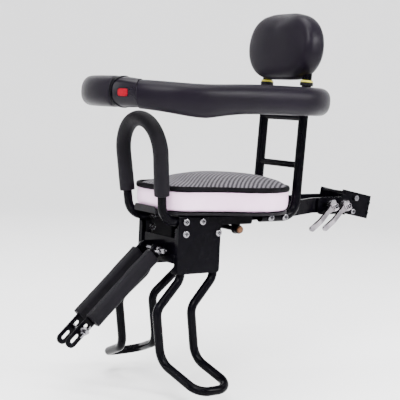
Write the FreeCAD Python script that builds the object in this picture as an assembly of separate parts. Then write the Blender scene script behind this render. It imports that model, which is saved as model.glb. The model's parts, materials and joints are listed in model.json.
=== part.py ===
import FreeCAD, Part
import math
import os

Vector = FreeCAD.Vector

# Child bike seat in millimetres and degrees.
# +X points forwards, +Y to the rider's left, +Z up.
# The origin lies on the seat post's axis, at the middle of the rear clamp.

# Common sizes
CLEARANCE = 0.3
HOLE_CLEARANCE = 0.2
RUNNING_CLEARANCE = 0.06
SHEET = 3.0

# Seat post clamp
POST_DIAMETER = 33.9
POST_GRIP = 0.05
POST_LEAN = 11.0
JAW_WALL = 10.05
JAW_HALF_GAP = 3.0
JAW_HEIGHT = 32.0
JAW_NOSE = 5.0
JAW_HEEL = 2.0
JAW_SCREW_X = 13.5
JAW_SCREW_RISE = 12.0
JAW_SCREW_RADIUS = 2.5
JAW_HEX_ACROSS = 9.0
JAW_HEX_HEIGHT = 4.5
JAW_PAN_RADIUS = 5.0
JAW_PAN_HEIGHT = 3.2
JAW_SCREW_LENGTH = 14.0
CHEEK_NOSE = 22.0
CHEEK_LOW = 19.0
CHEEK_HIGH = 22.0
SPACER_THICKNESS = 4.7
SPACER_HEIGHT = 28.0
RIVET_RADIUS = 1.5
RIVET_HEAD_RADIUS = 2.8
RIVET_HEAD_HEIGHT = 1.6
RIVET_LENGTH = 9.0
RIVET_RISE = 9.0
CLAMP_BAR_LENGTH = 98.0
CLAMP_BAR_LOW = -13.0
CLAMP_BAR_HIGH = 17.0
CLAMP_BAR_CORNER = 9.0
TIE_PIN_RADIUS = 3.0
TIE_PIN_INSET = 5.0

# Quick-release levers that close the clamp on the rear arms
SKEWER_RADIUS = 3.0
SKEWER_FIRST_X = 40.0
SKEWER_SPACING = 30.0
SKEWER_Z = 3.0
SLIDE_TRAVEL = 15.0
CAM_WASHER_RADIUS = 8.5
CAM_WASHER_THICKNESS = 3.0
CAM_RADIUS = 7.0
CAM_WIDTH = 15.0
EYE_RADIUS = 5.0
EYE_WIDTH = 6.6
CAM_PIN_RADIUS = 2.5
LEVER_LENGTH = 68.0
LEVER_WIDTH = 9.5
LEVER_THICKNESS = 4.5
LEVER_SWEEP = 5.0
LEVER_DROP = 37.0
SKEWER_NUT_LENGTH = 11.0
SKEWER_NUT_RADIUS = 8.0

# Base bracket and seat pan
FRONT_X = 404.0
BRACKET_HALF_WIDTH = 58.0
BRACKET_TOP_Z = -2.0
PLATE_LENGTH = 80.0
PLATE_DEPTH = 93.0
TAIL_LENGTH = 62.0
TAIL_DEPTH = 18.0
FOLD_RADIUS = 5.0
FLANGE_WIDTH = 10.0
FLANGE_FOOT_WIDTH = 18.0
FLANGE_FOOT_HEIGHT = 11.0
LUG_SETBACK = 110.0
LUG_DROP = 25.0
LUG_RADIUS = 8.0
TIE_BOLT_RADIUS = 4.0
TIE_CAP_RADIUS = 7.0
TIE_CAP_LENGTH = 8.0
TIE_END_RADIUS = 5.5
TIE_END_LENGTH = 4.0
PAN_THICKNESS = 4.0
PAN_SCALE = 0.975
PAN_GAP = 1.5
PAN_LIP_GAP = 1.0
PAN_LIP_HEIGHT = 7.0
PAN_LIP_HALF_WIDTH = 30.0
PAN_LIP_THICKNESS = 2.0
PAN_SCREW_RADIUS = 2.5

# Cushion
CUSHION_LENGTH = 248.0
CUSHION_OVERHANG = 24.0
CUSHION_NOSE_HALF = 70.0
CUSHION_REAR_HALF = 105.0
CUSHION_SIDE = 34.0
CUSHION_CROWN = 21.0
CROWN_SETBACK = 138.0

# Rear arms
ARM_SHEET = 4.0
ARM_JOGGLE_START = 116.0
ARM_JOGGLE_END = 140.0
ARM_BEND_X = 170.0
ARM_BAR_HALF = 13.0
ARM_TAPER_X = 107.0
ARM_END_X = 28.0
ARM_FRONT_LAP = 74.0

# Back frame and headrest
BACK_SETBACK = 236.0
BACK_LEAN = 3.0
BACK_HALF_WIDTH = 52.0
UPRIGHT_RADIUS = 8.0
TUBE_WALL = 1.5
RUN_LENGTH = 74.0
RUN_GAP = 0.5
RUN_BEND = 28.0
UPRIGHT_TOP = 250.0
CROSSBAR_RADIUS = 5.5
CROSSBAR_HEIGHTS = (74.0, 153.0)
BACK_BOLT_SETBACKS = (178.5, 208.0)
SLEEVE_RADIUS = 11.0
SLEEVE_BOTTOM = 205.8
SLEEVE_HEIGHT = 5.5
RING_RADIUS_OUT = 10.4
RING_HEIGHT = 3.2
HEADREST_BOTTOM = 215.0
HEADREST_HEIGHT = 109.0
HEADREST_HALF_WIDTH = 82.5
HEADREST_THICKNESS = 46.0
HEADREST_CORNER = 52.0
HEADREST_EDGE = 14.0
HEADREST_AHEAD = 9.0

# Guard ring and its gate
GUARD_Z = 181.0
GUARD_HALF_WIDTH = 112.0
GUARD_LENGTH = 372.0
GUARD_CORNER = 80.0
CORE_RADIUS = 7.0
CORE_GAP = 4.0
PAD_HALF_WIDTH = 21.0
PAD_HALF_HEIGHT = 24.0
PAD_BULGE = 10.5
PAD_BULGE_SPAN = 68.0
PAD_BULGE_AHEAD = 29.5
COLLAR_HALF_WIDTH = 19.0
COLLAR_HALF_HEIGHT = 21.0
GATE_HALF_WIDTH = 20.0
GATE_HALF_HEIGHT = 22.0
GATE_RISE = 24.5
SECTION_POINTS = 16
SECTION_FULLNESS = 0.85
LATCH_ANGLE = 20.5
COLLAR_LENGTH = 33.0
SEAM_GAP = 1.8
TONGUE_LENGTH = 6.0
TONGUE_THICKNESS = 6.0
TONGUE_HEIGHT = 14.0
TONGUE_INSET = 6.0
END_PLATE = 4.0
PLATE_INSET = 0.8
BUTTON_SETBACK = 15.0
BUTTON_LENGTH = 16.0
BUTTON_HEIGHT = 11.0
BUTTON_PROUD = 1.6
BUTTON_FLANGE = 1.7
BUTTON_TRAVEL = 3.0
BUTTON_DEPTH = 9.0
SPRING_RADIUS = 3.5
SPRING_WALL = 0.9
SPRING_LENGTH = 7.0
SPRING_FOLDS = 3
HINGE_COLLAR_LENGTH = 20.0
HINGE_REACH = 10.0
HINGE_LUG_RADIUS = 16.0
HINGE_LUG_HEIGHT = 9.0
KNUCKLE_RADIUS = 9.5
KNUCKLE_HALF_HEIGHT = 9.0
HINGE_PIN_RADIUS = 3.0
HINGE_STANDOFF = 21.0

# Front handle
ROD_RADIUS = 7.0
HANDLE_AHEAD = 24.0
HANDLE_TOP_AHEAD = 42.0
HANDLE_RUN_Z = -13.0
HANDLE_TOP_Z = 143.0
HANDLE_TOP_HALF = 58.0
HANDLE_HEEL = 27.0
HANDLE_ARCH = 53.0
HANDLE_TAIL = 10.0
GRIP_RADIUS = 12.0
GRIP_START_Z = 27.0

# Foot rests
FOOT_SHIFT = 47.0
FOOT_SPREAD = 8.5
FOOT_LEAN = 11.0
FOOT_SWEEP = 16.0
FOOT_KNEE_Z = -104.0
FOOT_SHIN_Z = -148.0
FOOT_ANKLE_Z = -228.5
FOOT_TOE_Z = -259.0
FOOT_TOE_Y = 138.0
FOOT_TOE_LENGTH = 63.5
FOOT_KNEE_BEND = 22.0
FOOT_ANKLE_BEND = 30.0
FOOT_TOE_BEND = 24.0

# Bolts that hold the handle and the foot rests in the bracket
BOLT_RADIUS = 3.0
BOLT_HEAD_RADIUS = 5.8
BOLT_HEAD_HEIGHT = 3.6
NUT_ACROSS = 10.0
NUT_HEIGHT = 5.0
BOLT_TIP = 2.0
FRONT_BOLT_INSET = 13.0
HANDLE_BOLT_SPACING = 30.5
FOOT_BOLT_SPACING = 62.0
FOOT_BOLT_Z = -32.0
FOOT_TOP_Z = -22.0

# Support arms
PIVOT_AHEAD = 13.0
PIVOT_Z = -60.0
PIVOT_RADIUS = 4.0
EAR_RADIUS = 10.0
PIVOT_PLATE_HEIGHT = 40.0
SUPPORT_HALF_GAP = 20.0
SUPPORT_TIP_HALF_GAP = 14.0
SUPPORT_DROP = 43.0
SUPPORT_SHEET = 3.0
SUPPORT_WIDTH = 18.0
SUPPORT_TAIL = 9.0
SUPPORT_REACH = 196.0
SUPPORT_JOGGLE_INSET = 90.0
SUPPORT_JOGGLE_LENGTH = 22.0
SUPPORT_PAD_START = 12.0
SUPPORT_PAD_INSET = 44.0
SUPPORT_PAD_WIDTH = 24.0
SUPPORT_PAD_THICKNESS = 18.0
SUPPORT_PAD_CORNER = 7.5
INNER_SLOT_INSET = 33.0
OUTER_SLOT_INSET = 12.0
OUTER_SLOT_LENGTH = 10.0
CROSS_BOLT_INSET = 24.0
CROSS_BOLT_RADIUS = 3.0
WING_HUB_RADIUS = 6.5
WING_HUB_HEIGHT = 8.0
WING_SPAN = 12.0
WING_HEIGHT = 13.0
WING_THICKNESS = 2.6

# Worked out from the sizes above
POST_RADIUS = POST_DIAMETER / 2 + POST_GRIP
CLAMP_INNER = POST_RADIUS + JAW_WALL
CLAMP_OUTER = CLAMP_INNER + SHEET
JAW_FRONT = POST_RADIUS + JAW_NOSE
JAW_REAR = POST_RADIUS + JAW_HEEL
CHEEK_FRONT = JAW_FRONT + CHEEK_NOSE
SPACER_REAR = JAW_REAR + CLEARANCE + SPACER_THICKNESS
SKEWER_XS = (SKEWER_FIRST_X, SKEWER_FIRST_X + SKEWER_SPACING)
CAM_PIVOT_Y = CLAMP_OUTER + CAM_WASHER_THICKNESS + 2 * CLEARANCE + CAM_RADIUS
ARM_REAR_Y = CLAMP_INNER - CLEARANCE - ARM_SHEET / 2
BRACKET_INNER = BRACKET_HALF_WIDTH - SHEET
PLATE_REAR_X = FRONT_X - PLATE_LENGTH
TAIL_X = PLATE_REAR_X - TAIL_LENGTH
PLATE_BOTTOM_Z = BRACKET_TOP_Z - PLATE_DEPTH
WEB_BOTTOM_Z = BRACKET_TOP_Z - SHEET
PAN_TOP_Z = BRACKET_TOP_Z + PAN_THICKNESS
CUSHION_FRONT_X = FRONT_X + CUSHION_OVERHANG
CUSHION_REAR_X = CUSHION_FRONT_X - CUSHION_LENGTH
CUSHION_BOTTOM_Z = PAN_TOP_Z + CLEARANCE
SEAM_Z = CUSHION_BOTTOM_Z + CUSHION_SIDE
BACK_X = FRONT_X - BACK_SETBACK
RUN_Z = BRACKET_TOP_Z - RUN_GAP - UPRIGHT_RADIUS
ARM_FRONT_Y = BRACKET_INNER - ARM_SHEET / 2
ARM_MIDDLE_Y = BACK_HALF_WIDTH - UPRIGHT_RADIUS - ARM_SHEET / 2
TUBE_Y = BRACKET_INNER - ROD_RADIUS
HANDLE_BOLT_XS = (FRONT_X - FRONT_BOLT_INSET, FRONT_X - FRONT_BOLT_INSET - HANDLE_BOLT_SPACING)
FOOT_BOLT_XS = (FRONT_X - FRONT_BOLT_INSET, FRONT_X - FRONT_BOLT_INSET - FOOT_BOLT_SPACING)
PIVOT = Vector(FRONT_X + PIVOT_AHEAD, 0, PIVOT_Z)
EAR_OUTER = SUPPORT_HALF_GAP - SUPPORT_SHEET / 2 - CLEARANCE
SUPPORT_PAD_END = SUPPORT_REACH - SUPPORT_PAD_INSET
CROSS_BOLT_AT = SUPPORT_REACH - CROSS_BOLT_INSET


def upright_x(height):
    """X of the upright's axis at a height: the back leans to the rear."""
    return BACK_X - height * math.tan(math.radians(BACK_LEAN))


GUARD_REAR_X = upright_x(GUARD_Z) - UPRIGHT_RADIUS - CORE_GAP - CORE_RADIUS
RING_CENTRE_X = GUARD_REAR_X + GUARD_LENGTH - GUARD_HALF_WIDTH
CORNER_CENTRE_X = GUARD_REAR_X + GUARD_CORNER
HINGE_PIVOT = Vector(RING_CENTRE_X, -GUARD_HALF_WIDTH, GUARD_Z)


def degrees_along(length):
    """Angle of the ring's front arc that a length along its centre line takes."""
    return math.degrees(length / GUARD_HALF_WIDTH)


COLLAR_END_ANGLE = LATCH_ANGLE + degrees_along(COLLAR_LENGTH)
BUTTON_ANGLE = LATCH_ANGLE + degrees_along(BUTTON_SETBACK)
CORE_END_ANGLE = BUTTON_ANGLE + degrees_along(BUTTON_LENGTH / 2 + 4.0)
GATE_LATCH_ANGLE = LATCH_ANGLE - degrees_along(SEAM_GAP + END_PLATE)
GATE_HINGE_ANGLE = -90 + degrees_along(HINGE_STANDOFF + END_PLATE)
HINGE_COLLAR_FRONT_X = RING_CENTRE_X - HINGE_REACH
HINGE_COLLAR_REAR_X = HINGE_COLLAR_FRONT_X - HINGE_COLLAR_LENGTH


# Shape helpers


def mirrored(shape):
    """The same shape on the other side of the seat."""
    return shape.mirror(Vector(0, 0, 0), Vector(0, 1, 0))


def both_sides(shape):
    return [shape, mirrored(shape)]


def moved(shape, point, rotation):
    """A copy of a shape, turned about the origin and then moved to a point."""
    copy = shape.copy()
    copy.Placement = FreeCAD.Placement(point, rotation).multiply(copy.Placement)
    return copy


def placed(shape, point, direction):
    """A shape built along +Z, moved to a point and turned to a direction."""
    return moved(shape, point, FreeCAD.Rotation(Vector(0, 0, 1), direction))


def turned_about_y(shape, angle, point):
    """A shape built at the origin, turned about Y and moved to a point."""
    return moved(shape, point, FreeCAD.Rotation(Vector(0, 1, 0), angle))


def box_between(low, high):
    size = high - low
    return Part.makeBox(size.x, size.y, size.z, low)


def rod_between(start, end, radius):
    run = end - start
    return Part.makeCylinder(radius, run.Length, start, run)


def corner_arc(before, corner, after, radius):
    """Start, middle and end of the arc that rounds a corner."""
    back = (before - corner).normalize()
    ahead = (after - corner).normalize()
    half_turn = (math.pi - back.getAngle(ahead)) / 2
    reach = radius * math.tan(half_turn)
    inward = (back + ahead).normalize()
    middle = corner + inward * (radius / math.cos(half_turn) - radius)
    return corner + back * reach, middle, corner + ahead * reach


def bent_path(points, radii):
    """Straight runs through points, joined by tangent arcs."""
    edges = []
    start = points[0]
    for before, corner, after, radius in zip(points, points[1:], points[2:], radii):
        enter, middle, leave = corner_arc(before, corner, after, radius)
        edges.append(Part.LineSegment(start, enter).toShape())
        edges.append(Part.Arc(enter, middle, leave).toShape())
        start = leave
    edges.append(Part.LineSegment(start, points[-1]).toShape())
    return Part.Wire(edges)


def rounded_face(points, radii):
    """Flat face with a radius at each corner, or a sharp corner where it is zero."""
    edges = []
    count = len(points)
    arcs = []
    for index, corner in enumerate(points):
        if radii[index] > 0:
            arcs.append(corner_arc(points[index - 1], corner, points[(index + 1) % count], radii[index]))
        else:
            arcs.append((corner, None, corner))
    for index, (enter, middle, leave) in enumerate(arcs):
        if middle is not None:
            edges.append(Part.Arc(enter, middle, leave).toShape())
        following = arcs[(index + 1) % count][0]
        if leave.distanceToPoint(following) > 0.001:
            edges.append(Part.LineSegment(leave, following).toShape())
    return Part.Face(Part.Wire(edges))


def rod_along(path, radius):
    first = path.OrderedEdges[0]
    start = first.valueAt(first.FirstParameter)
    direction = first.tangentAt(first.FirstParameter)
    circle = Part.Wire(Part.makeCircle(radius, start, direction))
    return path.makePipe(Part.Face(circle))


def tube_along(path, radius):
    return rod_along(path, radius).cut(rod_along(path, radius - TUBE_WALL))


def strip_face(points, thickness):
    """Strip of constant thickness along flat points in the XY plane."""
    left = []
    right = []
    for index, point in enumerate(points):
        before = points[index - 1] if index > 0 else point * 2 - points[1]
        after = points[index + 1] if index + 1 < len(points) else point * 2 - points[-2]
        first = (point - before).normalize()
        second = (after - point).normalize()
        first_normal = Vector(-first.y, first.x, 0)
        mitre = (first_normal + Vector(-second.y, second.x, 0)).normalize()
        offset = mitre * (thickness / 2 / mitre.dot(first_normal))
        left.append(point + offset)
        right.append(point - offset)
    outline = left + right[::-1]
    return Part.Face(Part.makePolygon(outline + outline[:1]))


def side_prism(points, radii, half_width):
    """Side outline given as X and Z pairs, run from one side of the seat to the other."""
    corners = [Vector(x, -half_width, z) for x, z in points]
    return rounded_face(corners, radii).extrude(Vector(0, 2 * half_width, 0))


def slot_prism(start, end, half_width, direction, length):
    """Round-ended slot from one centre to the other, cut along a direction."""
    along = (end - start).normalize()
    across = direction.cross(along).normalize() * half_width
    tip = along * half_width
    edges = [
        Part.LineSegment(start + across, end + across).toShape(),
        Part.Arc(end + across, end + tip, end - across).toShape(),
        Part.LineSegment(end - across, start - across).toShape(),
        Part.Arc(start - across, start - tip, start + across).toShape(),
    ]
    face = Part.Face(Part.Wire(edges))
    reach = Vector(direction).normalize() * length
    return face.extrude(reach)


# Fasteners


def pan_screw(radius, length, head_radius, head_height):
    """Cross-slotted pan head above Z = 0, shank below."""
    head = Part.makeCylinder(head_radius, head_height)
    head = head.makeFillet(head_height * 0.6, [head.Edges[0]])
    slot_length = head_radius * 1.2
    slot_width = head_radius * 0.22
    slot_depth = head_height * 0.4
    for size_x, size_y in ((slot_length, slot_width), (slot_width, slot_length)):
        corner = Vector(-size_x / 2, -size_y / 2, head_height - slot_depth)
        head = head.cut(Part.makeBox(size_x, size_y, head_height, corner))
    shank = Part.makeCylinder(radius, length, Vector(0, 0, -length))
    return head.fuse(shank).removeSplitter()


def hex_prism(across, height):
    corner = across / math.sqrt(3)
    points = []
    for index in range(7):
        turn = math.radians(60 * index)
        points.append(Vector(corner * math.cos(turn), corner * math.sin(turn), 0))
    return Part.Face(Part.makePolygon(points)).extrude(Vector(0, 0, height))


def hex_bolt(radius, length, across, head_height):
    shank = Part.makeCylinder(radius, length, Vector(0, 0, -length))
    return hex_prism(across, head_height).fuse(shank).removeSplitter()


def hex_nut(radius, across, height):
    bore = Part.makeCylinder(radius + HOLE_CLEARANCE, height)
    return hex_prism(across, height).cut(bore)


def wing_nut(radius):
    """Hub on Z = 0 with two upright wings."""
    nut = Part.makeCylinder(WING_HUB_RADIUS, WING_HUB_HEIGHT)
    for side in (-1, 1):
        inner = side * WING_HUB_RADIUS * 0.4
        outer = side * WING_SPAN
        corners = [
            Vector(inner, -WING_THICKNESS / 2, WING_HUB_HEIGHT * 0.4),
            Vector(outer, -WING_THICKNESS / 2, WING_HUB_HEIGHT * 0.7),
            Vector(outer, -WING_THICKNESS / 2, WING_HEIGHT),
            Vector(inner + side * 3.0, -WING_THICKNESS / 2, WING_HEIGHT),
        ]
        wing = rounded_face(corners, (0, 2.0, 3.0, 2.0))
        nut = nut.fuse(wing.extrude(Vector(0, WING_THICKNESS, 0)))
    bore = Part.makeCylinder(radius + HOLE_CLEARANCE, WING_HEIGHT)
    return nut.cut(bore).removeSplitter()


# Seat post clamp


def leaning(shape):
    """Turn a clamp piece that is built about an upright post to the post's lean."""
    return turned_about_y(shape, -POST_LEAN, Vector(0, 0, 0))


def jaw_left():
    block = box_between(
        Vector(-JAW_REAR, JAW_HALF_GAP, -JAW_HEIGHT / 2),
        Vector(JAW_FRONT, CLAMP_INNER, JAW_HEIGHT / 2),
    )
    block = block.cut(Part.makeCylinder(POST_RADIUS, JAW_HEIGHT, Vector(0, 0, -JAW_HEIGHT / 2)))
    for rise in (-JAW_SCREW_RISE, JAW_SCREW_RISE):
        bottom = CLAMP_OUTER - JAW_SCREW_LENGTH - SHEET
        hole = Part.makeCylinder(
            JAW_SCREW_RADIUS + HOLE_CLEARANCE,
            CLAMP_OUTER - bottom,
            Vector(JAW_SCREW_X, bottom, rise),
            Vector(0, 1, 0),
        )
        block = block.cut(hole)
    return leaning(block)


def jaw_screw_point(rise):
    spot = Vector(JAW_SCREW_X, CLAMP_OUTER, rise)
    return FreeCAD.Rotation(Vector(0, 1, 0), -POST_LEAN).multVec(spot)


def rivet_point(rise):
    spot = Vector(-SPACER_REAR + SPACER_THICKNESS / 2, CLAMP_OUTER, rise)
    return FreeCAD.Rotation(Vector(0, 1, 0), -POST_LEAN).multVec(spot)


def tie_pin_point():
    spot = Vector(CHEEK_FRONT - TIE_PIN_INSET, CLAMP_OUTER, CHEEK_HIGH - TIE_PIN_INSET)
    return FreeCAD.Rotation(Vector(0, 1, 0), -POST_LEAN).multVec(spot)


def clamp_plate_left():
    cheek = leaning(
        box_between(
            Vector(-SPACER_REAR, CLAMP_INNER, -CHEEK_LOW),
            Vector(CHEEK_FRONT, CLAMP_OUTER, CHEEK_HIGH),
        )
    )
    corners = [
        Vector(0, CLAMP_INNER, CLAMP_BAR_LOW),
        Vector(CLAMP_BAR_LENGTH, CLAMP_INNER, CLAMP_BAR_LOW),
        Vector(CLAMP_BAR_LENGTH, CLAMP_INNER, CLAMP_BAR_HIGH),
        Vector(0, CLAMP_INNER, CLAMP_BAR_HIGH),
    ]
    bar = rounded_face(corners, (0, CLAMP_BAR_CORNER, CLAMP_BAR_CORNER, 0)).extrude(Vector(0, SHEET, 0))
    plate = cheek.fuse(bar).removeSplitter()
    slot = slot_prism(
        Vector(SKEWER_XS[0], 0, SKEWER_Z),
        Vector(SKEWER_XS[1] + SLIDE_TRAVEL, 0, SKEWER_Z),
        SKEWER_RADIUS + CLEARANCE,
        Vector(0, 1, 0),
        2 * CLAMP_OUTER,
    )
    plate = plate.cut(slot)
    holes = [(jaw_screw_point(rise), JAW_SCREW_RADIUS) for rise in (-JAW_SCREW_RISE, JAW_SCREW_RISE)]
    holes += [(rivet_point(rise), RIVET_RADIUS) for rise in (-RIVET_RISE, RIVET_RISE)]
    holes.append((tie_pin_point(), RIVET_RADIUS))
    for point, radius in holes:
        drill = Part.makeCylinder(radius + HOLE_CLEARANCE, 3 * SHEET, point, Vector(0, -1, 0))
        plate = plate.cut(drill)
    return plate


def clamp_spacer():
    block = box_between(
        Vector(-SPACER_REAR, -CLAMP_INNER, -SPACER_HEIGHT / 2),
        Vector(-SPACER_REAR + SPACER_THICKNESS, CLAMP_INNER, SPACER_HEIGHT / 2),
    )
    block = leaning(block)
    for rise in (-RIVET_RISE, RIVET_RISE):
        hole = Part.makeCylinder(
            RIVET_RADIUS + HOLE_CLEARANCE, RIVET_LENGTH + CLEARANCE, rivet_point(rise), Vector(0, -1, 0)
        )
        for side in both_sides(hole):
            block = block.cut(side)
    return block


def clamp_rivets():
    head = Part.makeCylinder(RIVET_HEAD_RADIUS, RIVET_HEAD_HEIGHT)
    head = head.makeFillet(RIVET_HEAD_HEIGHT * 0.8, [head.Edges[0]])
    shank = Part.makeCylinder(RIVET_RADIUS, RIVET_LENGTH, Vector(0, 0, -RIVET_LENGTH))
    rivet = head.fuse(shank).removeSplitter()
    solids = []
    for rise in (-RIVET_RISE, RIVET_RISE):
        solids += both_sides(placed(rivet, rivet_point(rise), Vector(0, 1, 0)))
    return Part.makeCompound(solids)


def clamp_tie_pin():
    """Shouldered pin between the plates, with its ends riveted over outside."""
    point = tie_pin_point()
    middle = rod_between(
        Vector(point.x, -CLAMP_INNER, point.z), Vector(point.x, CLAMP_INNER, point.z), TIE_PIN_RADIUS
    )
    neck = rod_between(
        Vector(point.x, -CLAMP_OUTER, point.z), Vector(point.x, CLAMP_OUTER, point.z), RIVET_RADIUS
    )
    pin = middle.fuse(neck)
    for side in (-1, 1):
        head = Part.makeCylinder(RIVET_HEAD_RADIUS, RIVET_HEAD_HEIGHT)
        head = head.makeFillet(RIVET_HEAD_HEIGHT * 0.8, [head.Edges[0]])
        pin = pin.fuse(placed(head, Vector(point.x, side * CLAMP_OUTER, point.z), Vector(0, side, 0)))
    return pin.removeSplitter()


def jaw_screws(screw, rise):
    return Part.makeCompound(both_sides(placed(screw, jaw_screw_point(rise), Vector(0, 1, 0))))


# Rear arms and quick-release levers


def arm_left():
    """Flat bar, joggled in plan and wider behind the seat, that carries the bracket."""
    plan = [
        Vector(PLATE_REAR_X + ARM_FRONT_LAP - TAIL_LENGTH, ARM_FRONT_Y, 0),
        Vector(FRONT_X - ARM_JOGGLE_START, ARM_FRONT_Y, 0),
        Vector(FRONT_X - ARM_JOGGLE_END, ARM_MIDDLE_Y, 0),
        Vector(ARM_BEND_X, ARM_MIDDLE_Y, 0),
        Vector(ARM_TAPER_X, ARM_REAR_Y, 0),
        Vector(ARM_END_X, ARM_REAR_Y, 0),
    ]
    top = SKEWER_Z + ARM_BAR_HALF
    bottom = SKEWER_Z - ARM_BAR_HALF
    tail_bottom = BRACKET_TOP_Z - TAIL_DEPTH
    under_web = WEB_BOTTOM_Z - CLEARANCE
    under_fold = under_web - (FOLD_RADIUS - SHEET)
    front = plan[0].x
    side = [
        (front, under_fold),
        (TAIL_X - SHEET, under_fold),
        (TAIL_X - 2 * SHEET, under_web),
        (CUSHION_REAR_X + 10.0, under_web),
        (CUSHION_REAR_X - 12.0, top - 3.0),
        (ARM_TAPER_X, top),
        (ARM_END_X, top),
        (ARM_END_X, bottom),
        (ARM_TAPER_X, bottom),
        (front, tail_bottom),
    ]
    strip = strip_face(plan, ARM_SHEET).extrude(Vector(0, 0, 2 * PLATE_DEPTH))
    strip.translate(Vector(0, 0, -PLATE_DEPTH))
    arm = strip.common(side_prism(side, (3.0, 0, 0, 8.0, 6.0, 0, 6.0, 6.0, 0, 3.0), BRACKET_HALF_WIDTH))
    holes = [(x, SKEWER_Z, SKEWER_RADIUS) for x in SKEWER_XS]
    holes += [(FRONT_X - setback, RUN_Z, BOLT_RADIUS) for setback in BACK_BOLT_SETBACKS]
    for x, z, radius in holes:
        arm = arm.cut(
            Part.makeCylinder(radius + HOLE_CLEARANCE, BRACKET_HALF_WIDTH, Vector(x, 0, z), Vector(0, 1, 0))
        )
    return arm


def lever_placed(shape, x):
    return turned_about_y(shape, LEVER_DROP, Vector(x, CAM_PIVOT_Y, SKEWER_Z))


def skewer(x):
    """Rod across the clamp with an eye for the cam pin at its left end."""
    end = -CLAMP_OUTER - CLEARANCE - SKEWER_NUT_LENGTH
    rod = rod_between(Vector(x, end, SKEWER_Z), Vector(x, CAM_PIVOT_Y, SKEWER_Z), SKEWER_RADIUS)
    eye = Part.makeCylinder(EYE_RADIUS, EYE_WIDTH, Vector(0, 0, -EYE_WIDTH / 2))
    hole = Part.makeCylinder(CAM_PIN_RADIUS + RUNNING_CLEARANCE, EYE_WIDTH, Vector(0, 0, -EYE_WIDTH / 2))
    return rod.fuse(lever_placed(eye, x)).cut(lever_placed(hole, x)).removeSplitter()


def cam_pin(x):
    return lever_placed(Part.makeCylinder(CAM_PIN_RADIUS, CAM_WIDTH, Vector(0, 0, -CAM_WIDTH / 2)), x)


def cam_washer(x):
    bottom = CLAMP_OUTER + CLEARANCE
    washer = Part.makeCylinder(
        CAM_WASHER_RADIUS, CAM_WASHER_THICKNESS, Vector(x, bottom, SKEWER_Z), Vector(0, 1, 0)
    )
    bore = Part.makeCylinder(
        SKEWER_RADIUS + HOLE_CLEARANCE, CAM_WASHER_THICKNESS, Vector(x, bottom, SKEWER_Z), Vector(0, 1, 0)
    )
    return washer.cut(bore)


def skewer_nut(x):
    """Domed nut that sets the skewer's length."""
    nut = Part.makeCylinder(SKEWER_NUT_RADIUS, SKEWER_NUT_LENGTH)
    nut = nut.makeFillet(SKEWER_NUT_RADIUS * 0.45, [nut.Edges[0]])
    nut = nut.cut(Part.makeCylinder(SKEWER_RADIUS + HOLE_CLEARANCE, SKEWER_NUT_LENGTH))
    return placed(nut, Vector(x, -CLAMP_OUTER - CLEARANCE, SKEWER_Z), Vector(0, -1, 0))


def lever(x):
    """Cam head with a slot for the skewer's eye, and a swept flat arm along local X."""
    head = Part.makeCylinder(CAM_RADIUS, CAM_WIDTH, Vector(0, 0, -CAM_WIDTH / 2))
    line = [
        Vector(0, 0, 0),
        Vector(LEVER_LENGTH * 0.28, 0.5, 0),
        Vector(LEVER_LENGTH * 0.62, LEVER_SWEEP, 0),
        Vector(LEVER_LENGTH, LEVER_SWEEP * 0.6, 0),
    ]
    strip = strip_face(line, LEVER_THICKNESS).extrude(Vector(0, 0, CAM_WIDTH))
    strip.translate(Vector(0, 0, -CAM_WIDTH / 2))
    outline = [
        Vector(0, -CAM_PIVOT_Y, -CAM_WIDTH / 2),
        Vector(LEVER_LENGTH * 0.24, -CAM_PIVOT_Y, -LEVER_WIDTH * 0.42),
        Vector(LEVER_LENGTH, -CAM_PIVOT_Y, -LEVER_WIDTH / 2),
        Vector(LEVER_LENGTH, -CAM_PIVOT_Y, LEVER_WIDTH / 2),
        Vector(LEVER_LENGTH * 0.24, -CAM_PIVOT_Y, LEVER_WIDTH * 0.42),
        Vector(0, -CAM_PIVOT_Y, CAM_WIDTH / 2),
    ]
    round_end = LEVER_WIDTH * 0.45
    plan = rounded_face(outline, (0, 8.0, round_end, round_end, 8.0, 0))
    arm = strip.common(plan.extrude(Vector(0, 2 * CAM_PIVOT_Y, 0)))
    body = head.fuse(arm)
    slot_half = EYE_WIDTH / 2 + CLEARANCE
    slot = box_between(
        Vector(-2 * CAM_RADIUS, -2 * CAM_RADIUS, -slot_half),
        Vector(EYE_RADIUS + CLEARANCE, 2 * CAM_RADIUS, slot_half),
    )
    bore = Part.makeCylinder(CAM_PIN_RADIUS + RUNNING_CLEARANCE, CAM_WIDTH, Vector(0, 0, -CAM_WIDTH / 2))
    return lever_placed(body.cut(slot).cut(bore).removeSplitter(), x)


# Base bracket, pan and cushion


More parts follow.
